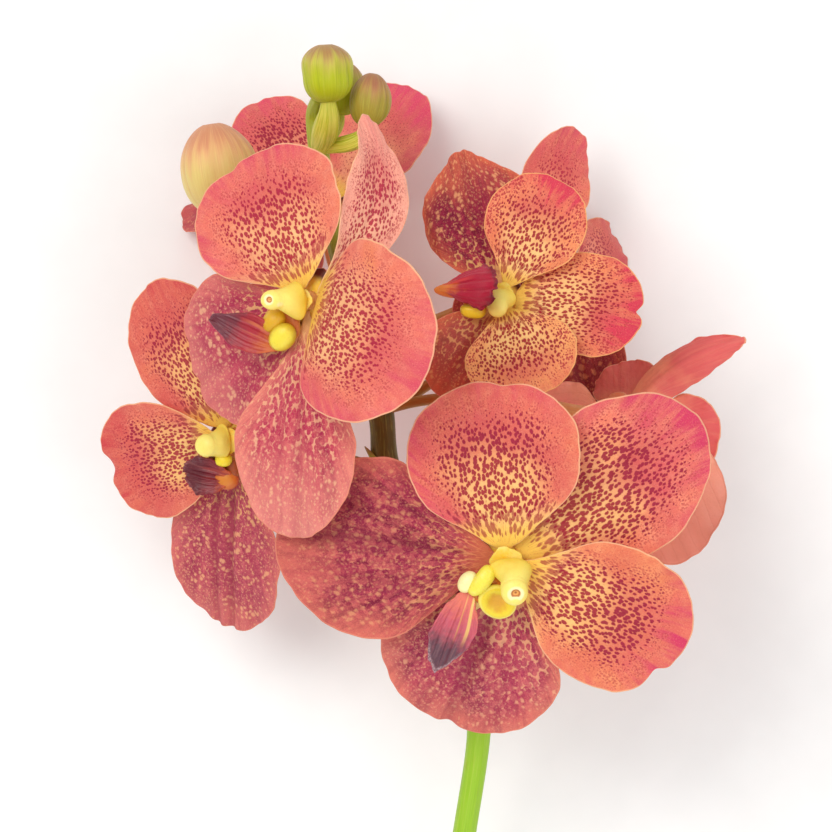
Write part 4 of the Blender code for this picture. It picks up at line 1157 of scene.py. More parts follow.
def rachis_parts():
    """The rachis: a smooth tube through its table, with faint ribs, swollen nodes and a clean cut end."""
    rows = spread(np.array(RACHIS + (RACHIS_TOP,)), RACHIS_STEPS)
    nodes = np.array(BRACTS)[:, 0] * RACHIS_STEPS
    index = np.arange(len(rows))[:, None]
    swell = np.exp(-((index - nodes[None, :]) / 4.5) ** 2).sum(axis=1)[:, None]

    def radius(t, azimuth):
        ribs = 0.05 * np.cos(9.0 * azimuth + 3.0 * t) + 0.03 * np.cos(16.0 * azimuth - 2.0 * t)
        return rows[:, 3:4] * (1.0 + 0.07 * swell) + ribs + 0.04 * np.sin(40.0 * t + azimuth)

    rings, t, azimuth = steady_sweep(rows[:, :3], RACHIS_SIDES, radius)
    first = rings[:1]
    middle = first.mean(axis=1, keepdims=True)
    outward = unit(rows[0, :3] - rows[1, :3])
    inner = [middle + (first - middle) * scale + outward * push for scale, push in CUT_RINGS]
    rings = np.concatenate(inner + [rings])
    ends = rings[-1].mean(axis=0)
    forward = unit(rows[-1, :3] - rows[-2, :3])
    points, faces = tube_parts(rings, middle[0, 0] + outward * 0.2, ends + forward * 0.6)
    t = np.concatenate([np.full((3, t.shape[1]), -0.02), t])
    azimuth = np.concatenate([azimuth[:3], azimuth])
    attributes = stalk_attributes(t, azimuth, RACHIS_KIND, GRAIN_LENGTH)
    attributes["zone"][:, 2][-2] = 1.0
    attributes["zone"][: 3 * azimuth.shape[1], 2] = np.repeat([1.0, 1.0, 0.4], azimuth.shape[1])
    return points, faces, attributes


def stalk_parts(path, radius_at, ribs, kind):
    """A flower's stalk: a tube with six slowly turning ribs, deeper over the ovary."""
    path = np.asarray(path)

    def radius(t, azimuth):
        rise = ribs * np.cos(6.0 * azimuth + 2.2 * t) * ramp(t, 0.15, 0.6) * (1.0 - ramp(t, 0.93, 1.0))
        return radius_at(t) * (1.0 + rise)

    rings, t, azimuth = steady_sweep(path, STALK_SIDES, radius)
    start = path[0] - unit(path[1] - path[0]) * 0.3
    points, faces = tube_parts(rings, start, path[-1] + unit(path[-1] - path[-2]) * 0.25)
    length = float(np.linalg.norm(np.diff(path, axis=0), axis=1).sum())
    return points, faces, stalk_attributes(t, azimuth, kind, length)


def bract_parts(at, turn):
    """A bract: a pointed scale that starts inside the rachis and leans away, thin at its tip and sides."""
    centre, along, away, radius = bract_place(at, turn)
    side = np.cross(along, away)
    rows, columns = BRACT_GRID
    height = np.linspace(0.0, np.pi, rows + 1)[1:-1, None]
    azimuth = np.linspace(0.0, 2.0 * np.pi, columns, endpoint=False)[None, :]
    y = 0.5 - 0.5 * np.cos(height) + 0.0 * azimuth
    x = np.sin(height) ** 0.8 * np.cos(azimuth)
    z = np.sin(height) * np.sin(azimuth)
    across = x * 0.5 * BRACT["width"] * (1.0 - 0.55 * y ** 1.5)
    lean = math.tan(math.radians(BRACT["lean"]))
    up = radius - 0.3 + z * 0.5 * BRACT["thick"] * (1.0 - 0.5 * y) + lean * BRACT["length"] * y * y
    up = up - across ** 2 / (2.2 * radius) + 0.04 * np.cos(14.0 * x)
    forward = BRACT["length"] * (y - 0.45)
    upper = at > UPPER_BRACTS
    across = across * (0.45 if upper else 1.0)
    up = np.where(upper, radius - 0.5 + (up - radius + 0.5) * 0.5, up)
    forward = forward * (0.6 if upper else 1.0)
    body = centre + forward[..., None] * along - across[..., None] * side + up[..., None] * away
    low = centre + along * 1.002 * forward.min() + away * (radius - 0.3)
    high = centre + along * 1.002 * forward.max() + away * up[-1].mean()
    points, faces = tube_parts(body, low, high)
    attributes = stalk_attributes(y, azimuth + 0.0 * y, BRACT_KIND, BRACT["length"])
    return points, faces, attributes


def bud_stalk_radius(thick):
    """The radius along a bud's stalk: slender at the rachis and swollen below the bud."""
    return lambda t: thick * (0.62 + 0.53 * np.sin(np.pi * t ** 1.2))


def build_stem(finish):
    """The rachis, the stalks of blooms and buds, and the bracts, as one piece."""
    parts = [rachis_parts()]
    for bloom in BLOOMS:
        parts.append(stalk_parts(stalk_path(bloom, 60), stalk_radius, 0.06, STALK_KIND))
    for bud in BUDS:
        path = np.asarray(bud_stalk_path(bud, 36))
        path = np.concatenate([path, path[-1:] + unit(bud["to"]) * np.array([[0.7], [1.5]])])
        parts.append(stalk_parts(path, bud_stalk_radius(bud["stalk"]), 0.07, BUD_STALK_KIND))
    for at, turn in BRACTS:
        parts.append(bract_parts(at, turn))
    points, faces, attributes = merged(parts)
    dress(mesh_piece("stem_fine", points, faces, attributes, finish), "stem")


# Finishes


class Finish:
    """A Principled material and short ways to add the nodes that colour it."""

    def __init__(self, name, roughness, specular, subsurface=0.0, sheen=0.0, coat=0.0):
        self.material = bpy.data.materials.new(name)
        self.material.use_nodes = True
        self.tree = self.material.node_tree
        self.shader = self.tree.nodes["Principled BSDF"]
        self.shader.inputs["Roughness"].default_value = roughness
        self.shader.inputs["Specular IOR Level"].default_value = specular
        self.shader.inputs["Subsurface Weight"].default_value = subsurface
        self.shader.inputs["Subsurface Radius"].default_value = (1.0, 0.35, 0.2)
        self.shader.inputs["Subsurface Scale"].default_value = 0.0012
        self.shader.inputs["Sheen Weight"].default_value = sheen
        self.shader.inputs["Sheen Roughness"].default_value = 0.4
        self.shader.inputs["Coat Weight"].default_value = coat
        self.shader.inputs["Coat Roughness"].default_value = 0.25

    def put(self, value, socket):
        """Links a socket, or sets a plain value."""
        if isinstance(value, bpy.types.NodeSocket):
            self.tree.links.new(value, socket)
        else:
            socket.default_value = value

    def math(self, operation, first, second=0.0):
        """One Math node."""
        node = self.tree.nodes.new("ShaderNodeMath")
        node.operation = operation
        self.put(first, node.inputs[0])
        self.put(second, node.inputs[1])
        return node.outputs[0]

    def add(self, first, second):
        """The sum of two values."""
        return self.math("ADD", first, second)

    def times(self, first, *others):
        """The product of all the values."""
        for other in others:
            first = self.math("MULTIPLY", first, other)
        return first

    def about(self, value, amount):
        """The value less a half, times an amount."""
        return self.times(self.math("SUBTRACT", value, 0.5), amount)

    def step(self, value, low, high):
        """Smoothstep of value from low to high; low may be the greater."""
        node = self.tree.nodes.new("ShaderNodeMapRange")
        node.interpolation_type = "SMOOTHSTEP"
        self.put(value, node.inputs["Value"])
        node.inputs["From Min"].default_value = min(low, high)
        node.inputs["From Max"].default_value = max(low, high)
        node.inputs["To Min"].default_value = 1.0 if low > high else 0.0
        node.inputs["To Max"].default_value = 0.0 if low > high else 1.0
        return node.outputs["Result"]

    def mix(self, amount, first, second):
        """Mixes two colours."""
        node = self.tree.nodes.new("ShaderNodeMix")
        node.data_type = "RGBA"
        self.put(amount, node.inputs[0])
        self.put(first, node.inputs[6])
        self.put(second, node.inputs[7])
        return node.outputs[2]

    def over(self, colour, value, low, high, amount, screen):
        """The colour, mixed with a screen colour by up to that amount where value goes from low to high."""
        return self.mix(self.times(self.step(value, low, high), amount), colour, srgb(*screen))

    def attribute(self, name):
        """A vector attribute of the piece."""
        node = self.tree.nodes.new("ShaderNodeAttribute")
        node.attribute_name = name
        return node.outputs["Vector"]

    def split(self, vector):
        """The three parts of a vector."""
        node = self.tree.nodes.new("ShaderNodeSeparateXYZ")
        self.put(vector, node.inputs[0])
        return node.outputs[0], node.outputs[1], node.outputs[2]

    def vector(self, operation, first, second):
        """One vector Math node."""
        node = self.tree.nodes.new("ShaderNodeVectorMath")
        node.operation = operation
        self.put(first, node.inputs[0])
        self.put(second, node.inputs[1])
        return node.outputs[0]

    def scaled(self, vector, scale):
        """A vector times a scale on each axis."""
        return self.vector("MULTIPLY", vector, scale)

    def noise_node(self, vector, scale, detail=2.0, roughness=0.5):
        """One Noise Texture node, with about that many waves a unit."""
        node = self.tree.nodes.new("ShaderNodeTexNoise")
        self.put(vector, node.inputs["Vector"])
        node.inputs["Scale"].default_value = scale
        node.inputs["Detail"].default_value = detail
        node.inputs["Roughness"].default_value = roughness
        return node

    def noise(self, *values):
        """Noise from 0 to 1, with the values of its node."""
        return self.noise_node(*values).outputs["Fac"]

    def wobble(self, vector, scale, amount):
        """The vector moved about by noise."""
        moves = self.vector("SUBTRACT", self.noise_node(vector, scale).outputs["Color"], (0.5, 0.5, 0.5))
        return self.vector("ADD", vector, self.scaled(moves, (amount, amount, 0.0)))

    def cells(self, vector, randomness=1.0):
        """Distance to the nearest of scattered points, one a unit, and a number of that point's own."""
        node = self.tree.nodes.new("ShaderNodeTexVoronoi")
        node.voronoi_dimensions = "2D"
        node.inputs["Scale"].default_value = 1.0
        node.inputs["Randomness"].default_value = randomness
        self.put(vector, node.inputs["Vector"])
        return node.outputs["Distance"], self.split(node.outputs["Color"])[0]

    def spots(self, vector, radius, soft=0.07, randomness=0.85):
        """Blots round scattered points: 1 inside a radius that differs from point to point."""
        distance, own = self.cells(vector, randomness)
        own_radius = self.times(radius, self.add(self.times(own, 0.5), 0.75))
        return self.step(self.math("SUBTRACT", own_radius, distance), -soft, soft)

    def bump(self, height, strength, distance):
        """The surface raised by a height."""
        node = self.tree.nodes.new("ShaderNodeBump")
        node.inputs["Strength"].default_value = strength
        node.inputs["Distance"].default_value = distance
        self.put(height, node.inputs["Height"])
        self.tree.links.new(node.outputs["Normal"], self.shader.inputs["Normal"])

    def colour(self, value):
        """Sets the base colour."""
        self.put(value, self.shader.inputs["Base Color"])

    def object_place(self, scale):
        """Object coordinates times a scale."""
        node = self.tree.nodes.new("ShaderNodeTexCoord")
        return self.scaled(node.outputs["Object"], (scale, scale, scale))


# Colours of the petals and dorsal sepals as screen colours, and how strongly each part of the pattern shows:
# the radius of the greatest spots in cells, where the spots end towards the margin and the tip, how fine the
# cells are, how strong the dust of small dots is, and how much the back turns pink towards its tip. Then what
# differs in each bloom, and in single blades.
PETALS = dict(
    ground=(222, 114, 92), pale=(240, 156, 118), rosy=(204, 84, 86), warm=(230, 130, 86),
    tip=(208, 60, 98), yellow=(246, 206, 126), lifted=(248, 172, 148), claw=(248, 204, 84),
    spot=(134, 18, 54), spot_warm=(158, 34, 46), spot_size=0.4, spot_far=0.82, spot_along=0.96,
    fineness=1.1, dust=0.55, rim=(242, 190, 146), back=(222, 116, 90), back_pink=(220, 100, 102),
    back_turn=0.3,
)
PETAL_KINDS = {
    "bloom_2": dict(
        spot=(158, 22, 58), spot_warm=(170, 36, 52), spot_size=0.39, spot_far=0.78, pale=(242, 156, 128),
        ground=(230, 124, 100), fineness=1.12, yellow=(244, 200, 136),
    ),
    "bloom_3": dict(
        ground=(238, 144, 96), yellow=(252, 218, 142), spot=(140, 16, 42), spot_warm=(160, 28, 38),
        spot_far=0.94, tip=(214, 62, 86), dust=0.9, fineness=1.26, spot_size=0.35, pale=(250, 190, 130),
        rim=(248, 190, 120), lifted=(246, 182, 112),
    ),
    "bloom_4": dict(
        ground=(220, 114, 92), spot=(140, 26, 54), spot_warm=(164, 44, 56), spot_size=0.39,
        tip=(198, 62, 72), spot_far=0.84, pale=(236, 148, 122), fineness=1.3,
    ),
    # bloom_5 faces away from the lights: its paler backs are partly its own salmon and partly painted light.
    "bloom_5": dict(ground=(222, 116, 98), back=(238, 148, 112), back_pink=(212, 76, 88), back_turn=0.9),
    "bloom_6": dict(
        ground=(222, 108, 102), tip=(222, 78, 108), spot=(144, 28, 58), spot_size=0.42,
        yellow=(236, 160, 124), fineness=1.4,
    ),
    "bloom_7": dict(
        ground=(226, 118, 104), yellow=(238, 150, 122), spot=(176, 50, 72), spot_size=0.34, fineness=1.35,
    ),
}
PETAL_OWN = {
    "bloom_1_petal_right": dict(
        ground=(228, 130, 92), pale=(246, 170, 118), rosy=(214, 102, 84), warm=(238, 150, 92),
    ),
    "bloom_1_dorsal_sepal": dict(
        ground=(232, 128, 102), pale=(250, 174, 136), spot_size=0.42, spot_along=1.0, spot_far=0.86,
    ),
    "bloom_2_dorsal_sepal": dict(
        ground=(242, 150, 130), pale=(252, 186, 162), rosy=(226, 112, 106), yellow=(250, 200, 160),
        spot=(176, 40, 70), spot_warm=(184, 52, 66), spot_size=0.36, fineness=1.25,
        lifted=(254, 184, 160),
    ),
}
# The same for the lateral sepals: how strong and how many the stars are, where the net ends and the salmon
# margin starts, how strong the painted pale highlight (sheen) towards the tip is, and how far the spots
# close up.
LATERALS = dict(
    spot=(162, 54, 80), deep=(130, 34, 60), rosy=(200, 92, 98), edge=(206, 98, 92), star=(224, 156, 112),
    net=(240, 194, 118), claw=(248, 196, 124), stars=0.85, sheen=0.0, edge_from=0.62, net_end=0.42,
    rim=(224, 138, 112), back=(220, 112, 88), back_pink=(214, 96, 98), back_turn=0.3, fineness=1.0,
    spot_grow=0.42, crowd=1.0,
)
LATERAL_KINDS = {
    "bloom_1": dict(
        stars=0.66, crowd=0.85, spot=(162, 46, 76), deep=(104, 18, 46), rosy=(220, 112, 104),
        edge=(216, 112, 96), net=(238, 172, 112), claw=(220, 124, 84),
    ),
    "bloom_2": dict(
        spot=(184, 56, 86), deep=(156, 38, 72), rosy=(214, 108, 108), edge=(222, 122, 112),
        star=(236, 178, 138), sheen=0.45, net_end=0.62,
    ),
    "bloom_3": dict(
        spot=(150, 28, 58), deep=(118, 18, 46), rosy=(192, 58, 78), edge=(222, 108, 76),
        star=(240, 184, 120), net_end=0.85, edge_from=0.56, fineness=1.2, spot_grow=0.4,
    ),
    "bloom_4": dict(
        spot=(176, 66, 88), deep=(144, 44, 70), rosy=(210, 104, 108), edge=(216, 116, 108),
        star=(234, 172, 126), fineness=1.3,
    ),
    # bloom_5 faces away from the lights: its paler backs are partly its own salmon and partly painted light.
    "bloom_5": dict(
        spot=(190, 90, 90), deep=(160, 60, 70), back=(254, 180, 146), back_pink=(252, 164, 150),
    ),
    "bloom_7": dict(
        spot=(142, 42, 48), deep=(112, 26, 38), rosy=(176, 64, 62), edge=(188, 80, 66),
        star=(214, 130, 90),
    ),
}
LATERAL_OWN = {
    "bloom_2_lateral_sepal_right": dict(
        spot=(186, 54, 84), deep=(154, 36, 70), rosy=(220, 118, 112), edge=(234, 138, 118),
        star=(240, 186, 144), net=(248, 202, 144), sheen=0.35, net_end=0.95, edge_from=0.5, stars=0.72,
        crowd=0.8, spot_grow=0.36, fineness=1.12,
    ),
    "bloom_1_lateral_sepal_right": dict(
        spot=(176, 56, 86), deep=(128, 28, 62), rosy=(226, 124, 116), edge=(222, 122, 104),
        star=(236, 172, 132), net=(246, 202, 138), net_end=0.8, stars=0.74, crowd=0.8,
        claw=(226, 150, 96), spot_grow=0.38,
    ),
    "bloom_3_lateral_sepal_left": dict(
        spot=(146, 28, 62), deep=(112, 18, 50), rosy=(190, 60, 82), edge=(226, 112, 78),
        star=(240, 176, 122), net_end=0.62, edge_from=0.5, fineness=1.15, stars=0.8, crowd=1.0,
    ),
}


def back_colour(f, k, grow, lean, u, large, fibres, far):
    """The smooth salmon back of a blade: two tones, faint lengthwise veins and a pale rim."""
    turn = k["back_turn"]
    pinker = f.step(f.add(large, f.times(lean, turn)), 0.28 + 0.4 * turn, 0.68 + 0.4 * turn)
    colour = f.mix(pinker, srgb(*k["back"]), srgb(*k["back_pink"]))
    veins = f.math("ABSOLUTE", f.math("SINE", f.add(f.times(u, 15.0), f.times(large, 2.5))))
    colour = f.over(colour, veins, 0.22, 0.0, 0.16, (196, 84, 60))
    colour = f.over(colour, fibres, 0.4, 0.75, 0.22, (242, 164, 128))
    colour = f.over(colour, f.noise(grow, 1.3, 4.0, 0.7), 0.45, 0.75, 0.14, (196, 84, 76))
    # Painted light, in part: lift makes the back paler, partly its own paler tone and partly light painted on
    # blades in shade.
    colour = f.mix(f.times(f.split(grow)[2], 0.5), colour, srgb(252, 176, 146))
    return f.mix(f.times(f.step(far, 0.975, 0.99), 0.6), colour, srgb(*k["rim"])), veins


def petal_finish(name, own):
    """Spotted petal: salmon with a fine mottle, yellow between the spots of its lower half, pink feathers at
    the tip and the flushed margin, crimson spots that shrink to dust round their field and run out as streaks
    in the yolk-yellow claw, a thin pale rim, and a plain salmon back with faint veins."""
    k = dict(PETALS)
    k.update(own)
    f = Finish(name, 0.5, 0.1, subsurface=0.04)
    grow = f.attribute("grow")
    along, far, side = f.split(f.attribute("zone"))
    u, _, spots_and_highlight = f.split(f.attribute("lay"))
    fan = f.attribute("fan")
    flush, tip, painted_crease_shade = f.split(f.attribute("tone"))
    large = f.noise(grow, 0.09, 3.0)
    middling = f.noise(grow, 0.42, 3.0)
    fine = f.noise(grow, 1.5, 4.0, 0.75)
    grain = f.noise(grow, 3.4, 3.0, 0.7)
    lift = f.split(grow)[2]
    rays = f.noise(f.scaled(fan, (11.0, 2.2, 1.0)), 1.0, 4.0, 0.65)
    hairs = f.noise(f.scaled(fan, (34.0, 5.0, 1.0)), 1.0, 3.0, 0.6)
    sway = f.about(large, 0.4)
    outward = f.add(far, sway)
    upward = f.add(along, sway)

    colour = f.mix(f.times(f.step(middling, 0.35, 0.7), 0.5), srgb(*k["ground"]), srgb(*k["pale"]))
    colour = f.over(colour, fine, 0.5, 0.78, 0.4, k["pale"])
    colour = f.over(colour, fine, 0.5, 0.24, 0.55, k["rosy"])
    colour = f.over(colour, large, 0.46, 0.7, 0.55, k["rosy"])
    colour = f.mix(f.times(f.step(large, 0.5, 0.3), f.step(along, 0.9, 0.5), 0.6), colour, srgb(*k["warm"]))
    # Painted light, in part: lift makes the blade paler, partly its own paler tone and partly light painted
    # on blades in shade.
    colour = f.mix(f.times(lift, 0.8), colour, srgb(*k["lifted"]))
    wash = f.times(f.step(outward, 0.78, 0.35), f.step(upward, 0.46, 0.66), f.step(upward, 1.02, 0.8))
    colour = f.mix(f.times(wash, f.add(0.25, f.times(middling, 0.5))), colour, srgb(200, 82, 82))
    yellow = f.times(f.step(outward, 0.8, 0.3), f.step(upward, 0.74, 0.32))
    yellow = f.math("MAXIMUM", yellow, f.step(upward, 0.3, 0.12))
    colour = f.mix(f.times(yellow, f.add(0.54, f.times(middling, 0.4))), colour, srgb(*k["yellow"]))
    flushed = f.math("MAXIMUM", f.times(flush, 0.75), f.times(f.step(upward, 0.6, 1.02), tip))
    feather = f.add(f.times(flushed, 0.42), f.times(flushed, f.step(rays, 0.4, 0.62), 0.6))
    colour = f.mix(feather, colour, srgb(*k["tip"]))
    veined = f.times(f.step(hairs, 0.45, 0.72), f.step(along, 0.3, 0.8), 0.28)
    colour = f.mix(veined, colour, srgb(*k["rosy"]))
    colour = f.over(colour, grain, 0.52, 0.74, 0.4, (250, 182, 140))
    colour = f.over(colour, grain, 0.48, 0.28, 0.35, (190, 68, 66))

    end = k["spot_far"]
    field = f.times(f.step(outward, end + 0.08, end - 0.34), f.step(upward, k["spot_along"], 0.66))
    field = f.times(field, f.step(along, 0.13, 0.25))
    place = f.wobble(grow, 1.1, 0.6)
    swell = f.add(f.add(f.times(middling, 0.5), 0.68), f.times(f.step(outward, 0.55, 0.1), 0.14))
    size = f.times(field, swell, k["spot_size"], spots_and_highlight)
    distance, chance = f.cells(f.scaled(place, (1.04 * k["fineness"], 0.68 * k["fineness"], 1.0)), 1.0)
    distance = f.add(distance, f.about(fine, 0.22))
    size = f.times(size, f.add(f.times(chance, 0.5), 0.72))
    spot = f.step(f.math("SUBTRACT", size, distance), -0.09, 0.06)
    halo = f.step(f.math("SUBTRACT", f.times(size, 1.35), distance), -0.22, 0.12)
    powder = f.times(f.step(outward, end - 0.34, end - 0.16), f.step(outward, end + 0.16, end))
    powder = f.times(powder, f.step(along, 0.1, 0.2), f.step(upward, 1.0, 0.8), f.step(middling, 0.34, 0.6))
    dust = f.spots(f.scaled(f.wobble(grow, 1.4, 0.5), (1.7, 1.4, 1.0)), f.times(powder, 0.4, spots_and_highlight), 0.14)
    streak_field = f.times(f.step(along, 0.05, 0.12), f.step(along, 0.34, 0.2), f.step(far, 1.0, 0.86))
    streaks = f.spots(f.scaled(place, (0.9, 0.4, 1.0)), f.times(streak_field, 0.44, spots_and_highlight), 0.14)
    colour = f.over(colour, along, 0.22, 0.06, 0.9, k["claw"])
    lines = f.times(f.step(hairs, 0.5, 0.66), f.step(along, 0.02, 0.07), f.step(along, 0.24, 0.12), 0.6)
    colour = f.mix(lines, colour, srgb(206, 88, 48))
    colour = f.mix(f.times(halo, 0.22), colour, srgb(206, 92, 78))
    tint = f.mix(f.times(yellow, 0.8), srgb(*k["spot"]), srgb(*k["spot_warm"]))
    tint = f.mix(f.times(chance, 0.25), tint, srgb(184, 58, 80))
    tint = f.over(tint, upward, 0.5, 0.85, 0.3, (180, 46, 74))
    colour = f.mix(f.times(dust, k["dust"]), colour, srgb(184, 60, 66))
    colour = f.mix(f.times(streaks, 0.75), colour, tint)
    colour = f.mix(f.times(spot, 0.93), colour, tint)
    # Painted shade: darker along the creases of the folds.
    colour = f.mix(f.times(painted_crease_shade, 0.35), colour, srgb(150, 50, 60))
    colour = f.over(colour, far, 0.984, 0.995, 0.7, k["rim"])

    back, veins = back_colour(f, k, grow, along, u, large, rays, far)
    f.colour(f.mix(f.step(side, 0.25, 0.55), back, colour))
    height = f.add(f.times(rays, 0.5), f.times(fine, 0.7))
    height = f.add(height, f.times(f.step(veins, 0.35, 0.0), -0.25))
    height = f.add(height, f.times(spot, 0.25))
    f.bump(height, 0.5, 0.00025)
    return f.material


def lateral_finish(name, own):
    """Mauve sepal: spots so dense that the pale ground shows only where their cells meet, as a net at the
    claw and as small stars farther out; finer stars in rows between them, lengthwise bands of crimson, a
    gradual salmon margin with a thin pale rim, a painted pale highlight towards the tip, painted shade in the
    creases, and a plain salmon back."""
    k = dict(LATERALS)
    k.update(own)
    f = Finish(name, 0.48, 0.12, subsurface=0.04)
    grow = f.attribute("grow")
    along, far, side = f.split(f.attribute("zone"))
    u, _, spots_and_highlight = f.split(f.attribute("lay"))
    fan = f.attribute("fan")
    _, _, painted_crease_shade = f.split(f.attribute("tone"))
    large = f.noise(grow, 0.08, 3.0)
    middling = f.noise(grow, 0.34, 3.0)
    fine = f.noise(grow, 1.5, 4.0, 0.75)
    grain = f.noise(grow, 3.2, 3.0, 0.7)
    lift = f.split(grow)[2]
    bands = f.noise(f.scaled(fan, (5.0, 0.8, 1.0)), 1.0, 3.0, 0.6)
    rays = f.noise(f.scaled(fan, (16.0, 2.5, 1.0)), 1.0, 4.0, 0.65)
    sway = f.about(large, 0.5)
    outward = f.add(f.math("MAXIMUM", far, f.times(along, 0.98)), sway)
    upward = f.add(along, sway)

    size = k["fineness"]
    distance, chance = f.cells(f.scaled(f.wobble(grow, 0.9, 0.8), (0.88 * size, 0.66 * size, 1.0)), 1.0)
    distance = f.add(distance, f.about(fine, 0.3))
    reach = f.step(upward, 0.14, k["net_end"])
    reach = f.add(f.times(reach, k["spot_grow"]), f.about(middling, 0.3))
    reach = f.add(reach, f.times(f.step(outward, 0.6, 1.0), 0.2))
    reach = f.add(reach, 0.42)
    pale = f.step(f.math("SUBTRACT", distance, reach), -0.08, 0.14)
    crowd = f.noise(grow, 0.16, 2.0)
    beyond = f.times(f.step(upward, k["net_end"] * 0.35, k["net_end"] * 0.8), f.step(outward, 1.12, 0.8))
    loose = f.wobble(f.wobble(grow, 0.5, 1.2), 1.9, 0.7)
    stars = f.times(beyond, f.add(0.04, f.times(f.step(crowd, 0.42, 0.62), 0.26 * k["crowd"])))
    stars = f.spots(f.scaled(loose, (0.56 * size, 0.46 * size, 1.0)), stars, 0.16, 1.0)
    tiny = f.times(f.step(bands, 0.3, 0.5), beyond, f.add(0.06, f.times(f.step(crowd, 0.6, 0.36), 0.17)))
    tiny = f.spots(f.scaled(loose, (1.05 * size, 0.85 * size, 1.0)), tiny, 0.2, 1.0)

    colour = f.mix(f.times(f.step(bands, 0.4, 0.68), 0.8), srgb(*k["spot"]), srgb(*k["deep"]))
    colour = f.over(colour, chance, 0.35, 0.9, 0.45, k["rosy"])
    colour = f.over(colour, fine, 0.48, 0.72, 0.65, k["rosy"])
    colour = f.over(colour, fine, 0.46, 0.26, 0.5, k["deep"])
    edge = f.times(f.step(outward, k["edge_from"], 1.05), f.add(0.6, f.times(middling, 0.5)))
    colour = f.mix(edge, colour, srgb(*k["edge"]))
    colour = f.over(colour, rays, 0.45, 0.7, 0.35, k["deep"])
    colour = f.over(colour, rays, 0.48, 0.28, 0.3, k["edge"])
    colour = f.over(colour, grain, 0.52, 0.74, 0.34, (228, 140, 124))
    colour = f.over(colour, grain, 0.48, 0.28, 0.4, k["deep"])
    # Painted light, in part: lift makes the blade paler, partly its own paler tone and partly light painted
    # on blades in shade.
    colour = f.mix(f.times(lift, 0.7), colour, srgb(236, 146, 100))
    # Painted highlight: a pale greyish-pink sheen towards the tip, as strong as sheen times the blade's spots
    # value.
    colour = f.mix(f.times(f.step(upward, 0.55, 1.0), k["sheen"], spots_and_highlight), colour, srgb(222, 148, 142))
    star = f.mix(f.step(along, 0.5, 0.15), srgb(*k["star"]), srgb(*k["net"]))
    colour = f.mix(f.times(tiny, 0.62, k["stars"]), colour, star)
    colour = f.mix(f.times(stars, 0.85, k["stars"]), colour, star)
    colour = f.mix(f.times(pale, f.add(0.55, f.times(fine, 0.6)), k["stars"]), colour, star)
    colour = f.over(colour, along, 0.2, 0.04, 0.85, k["claw"])
    streak_field = f.times(f.step(along, 0.02, 0.08), f.step(along, 0.26, 0.14))
    streaks = f.step(f.noise(f.scaled(fan, (24.0, 4.0, 1.0)), 1.0, 3.0), 0.48, 0.62)
    colour = f.mix(f.times(streaks, streak_field, 0.55), colour, srgb(186, 66, 62))
    # Painted shade: darker along the creases of the folds.
    colour = f.mix(f.times(painted_crease_shade, 0.6), colour, srgb(*k["deep"]))
    colour = f.over(colour, far, 0.982, 0.994, 0.7, k["rim"])

    back, veins = back_colour(f, k, grow, along, u, large, rays, far)
    f.colour(f.mix(f.step(side, 0.25, 0.55), back, colour))
    height = f.add(f.times(rays, 0.6), f.times(fine, 0.8))
    height = f.add(height, f.times(f.step(veins, 0.35, 0.0), -0.3))
    f.bump(height, 0.55, 0.0003)
    return f.material


# The same for the lips: where along the tongue the middle and tip colours start, where its keel lies, how
# strong its fibres are, and how much more of the tip's colour its sides have.
LIPS = dict(
    base=(226, 116, 96), middle=(200, 88, 104), tip=(94, 58, 72), turn=0.46, keel=(240, 206, 120),
    keel_at=0.34, ragged=(196, 160, 164), flap=(240, 226, 78), flap_far=(250, 240, 170),
    cup=(232, 206, 44), cup_rim=(246, 232, 110), throat=(214, 124, 30), spur=(240, 208, 130), first=0.1,
    fibre=0.3, side=0.0, lobe=(238, 218, 64), lobe_painted_shade=(206, 172, 40), purse=(218, 160, 34),
    tip_from=None,
)
LIP_KINDS = {
    "bloom_1": dict(keel_at=-0.5),
    "bloom_2": dict(
        base=(206, 104, 34), middle=(168, 34, 50), tip=(104, 40, 54), turn=0.5, flap=(218, 168, 30),
        flap_far=(226, 186, 56), throat=(190, 100, 30), keel=(206, 110, 70), fibre=0.12,
        ragged=(120, 60, 76),
    ),
    "bloom_3": dict(
        base=(232, 140, 50), middle=(178, 16, 58), tip=(118, 12, 40), turn=0.52, tip_from=0.88,
        first=0.05, ragged=(84, 8, 26), fibre=0.15, side=0.5, lobe=(244, 214, 44), spur=(228, 132, 56),
        keel=(206, 60, 66), flap=(150, 40, 40), flap_far=(170, 60, 50),
    ),
    "bloom_4": dict(
        base=(196, 84, 30), middle=(132, 30, 42), tip=(92, 16, 32), turn=0.35, ragged=(140, 66, 74),
        throat=(150, 70, 30), flap=(120, 28, 40), flap_far=(244, 222, 50), cup=(206, 108, 34),
        cup_rim=(196, 84, 34), purse=(218, 132, 40), spur=(190, 100, 50), keel=(150, 50, 46), fibre=0.3,
    ),
}


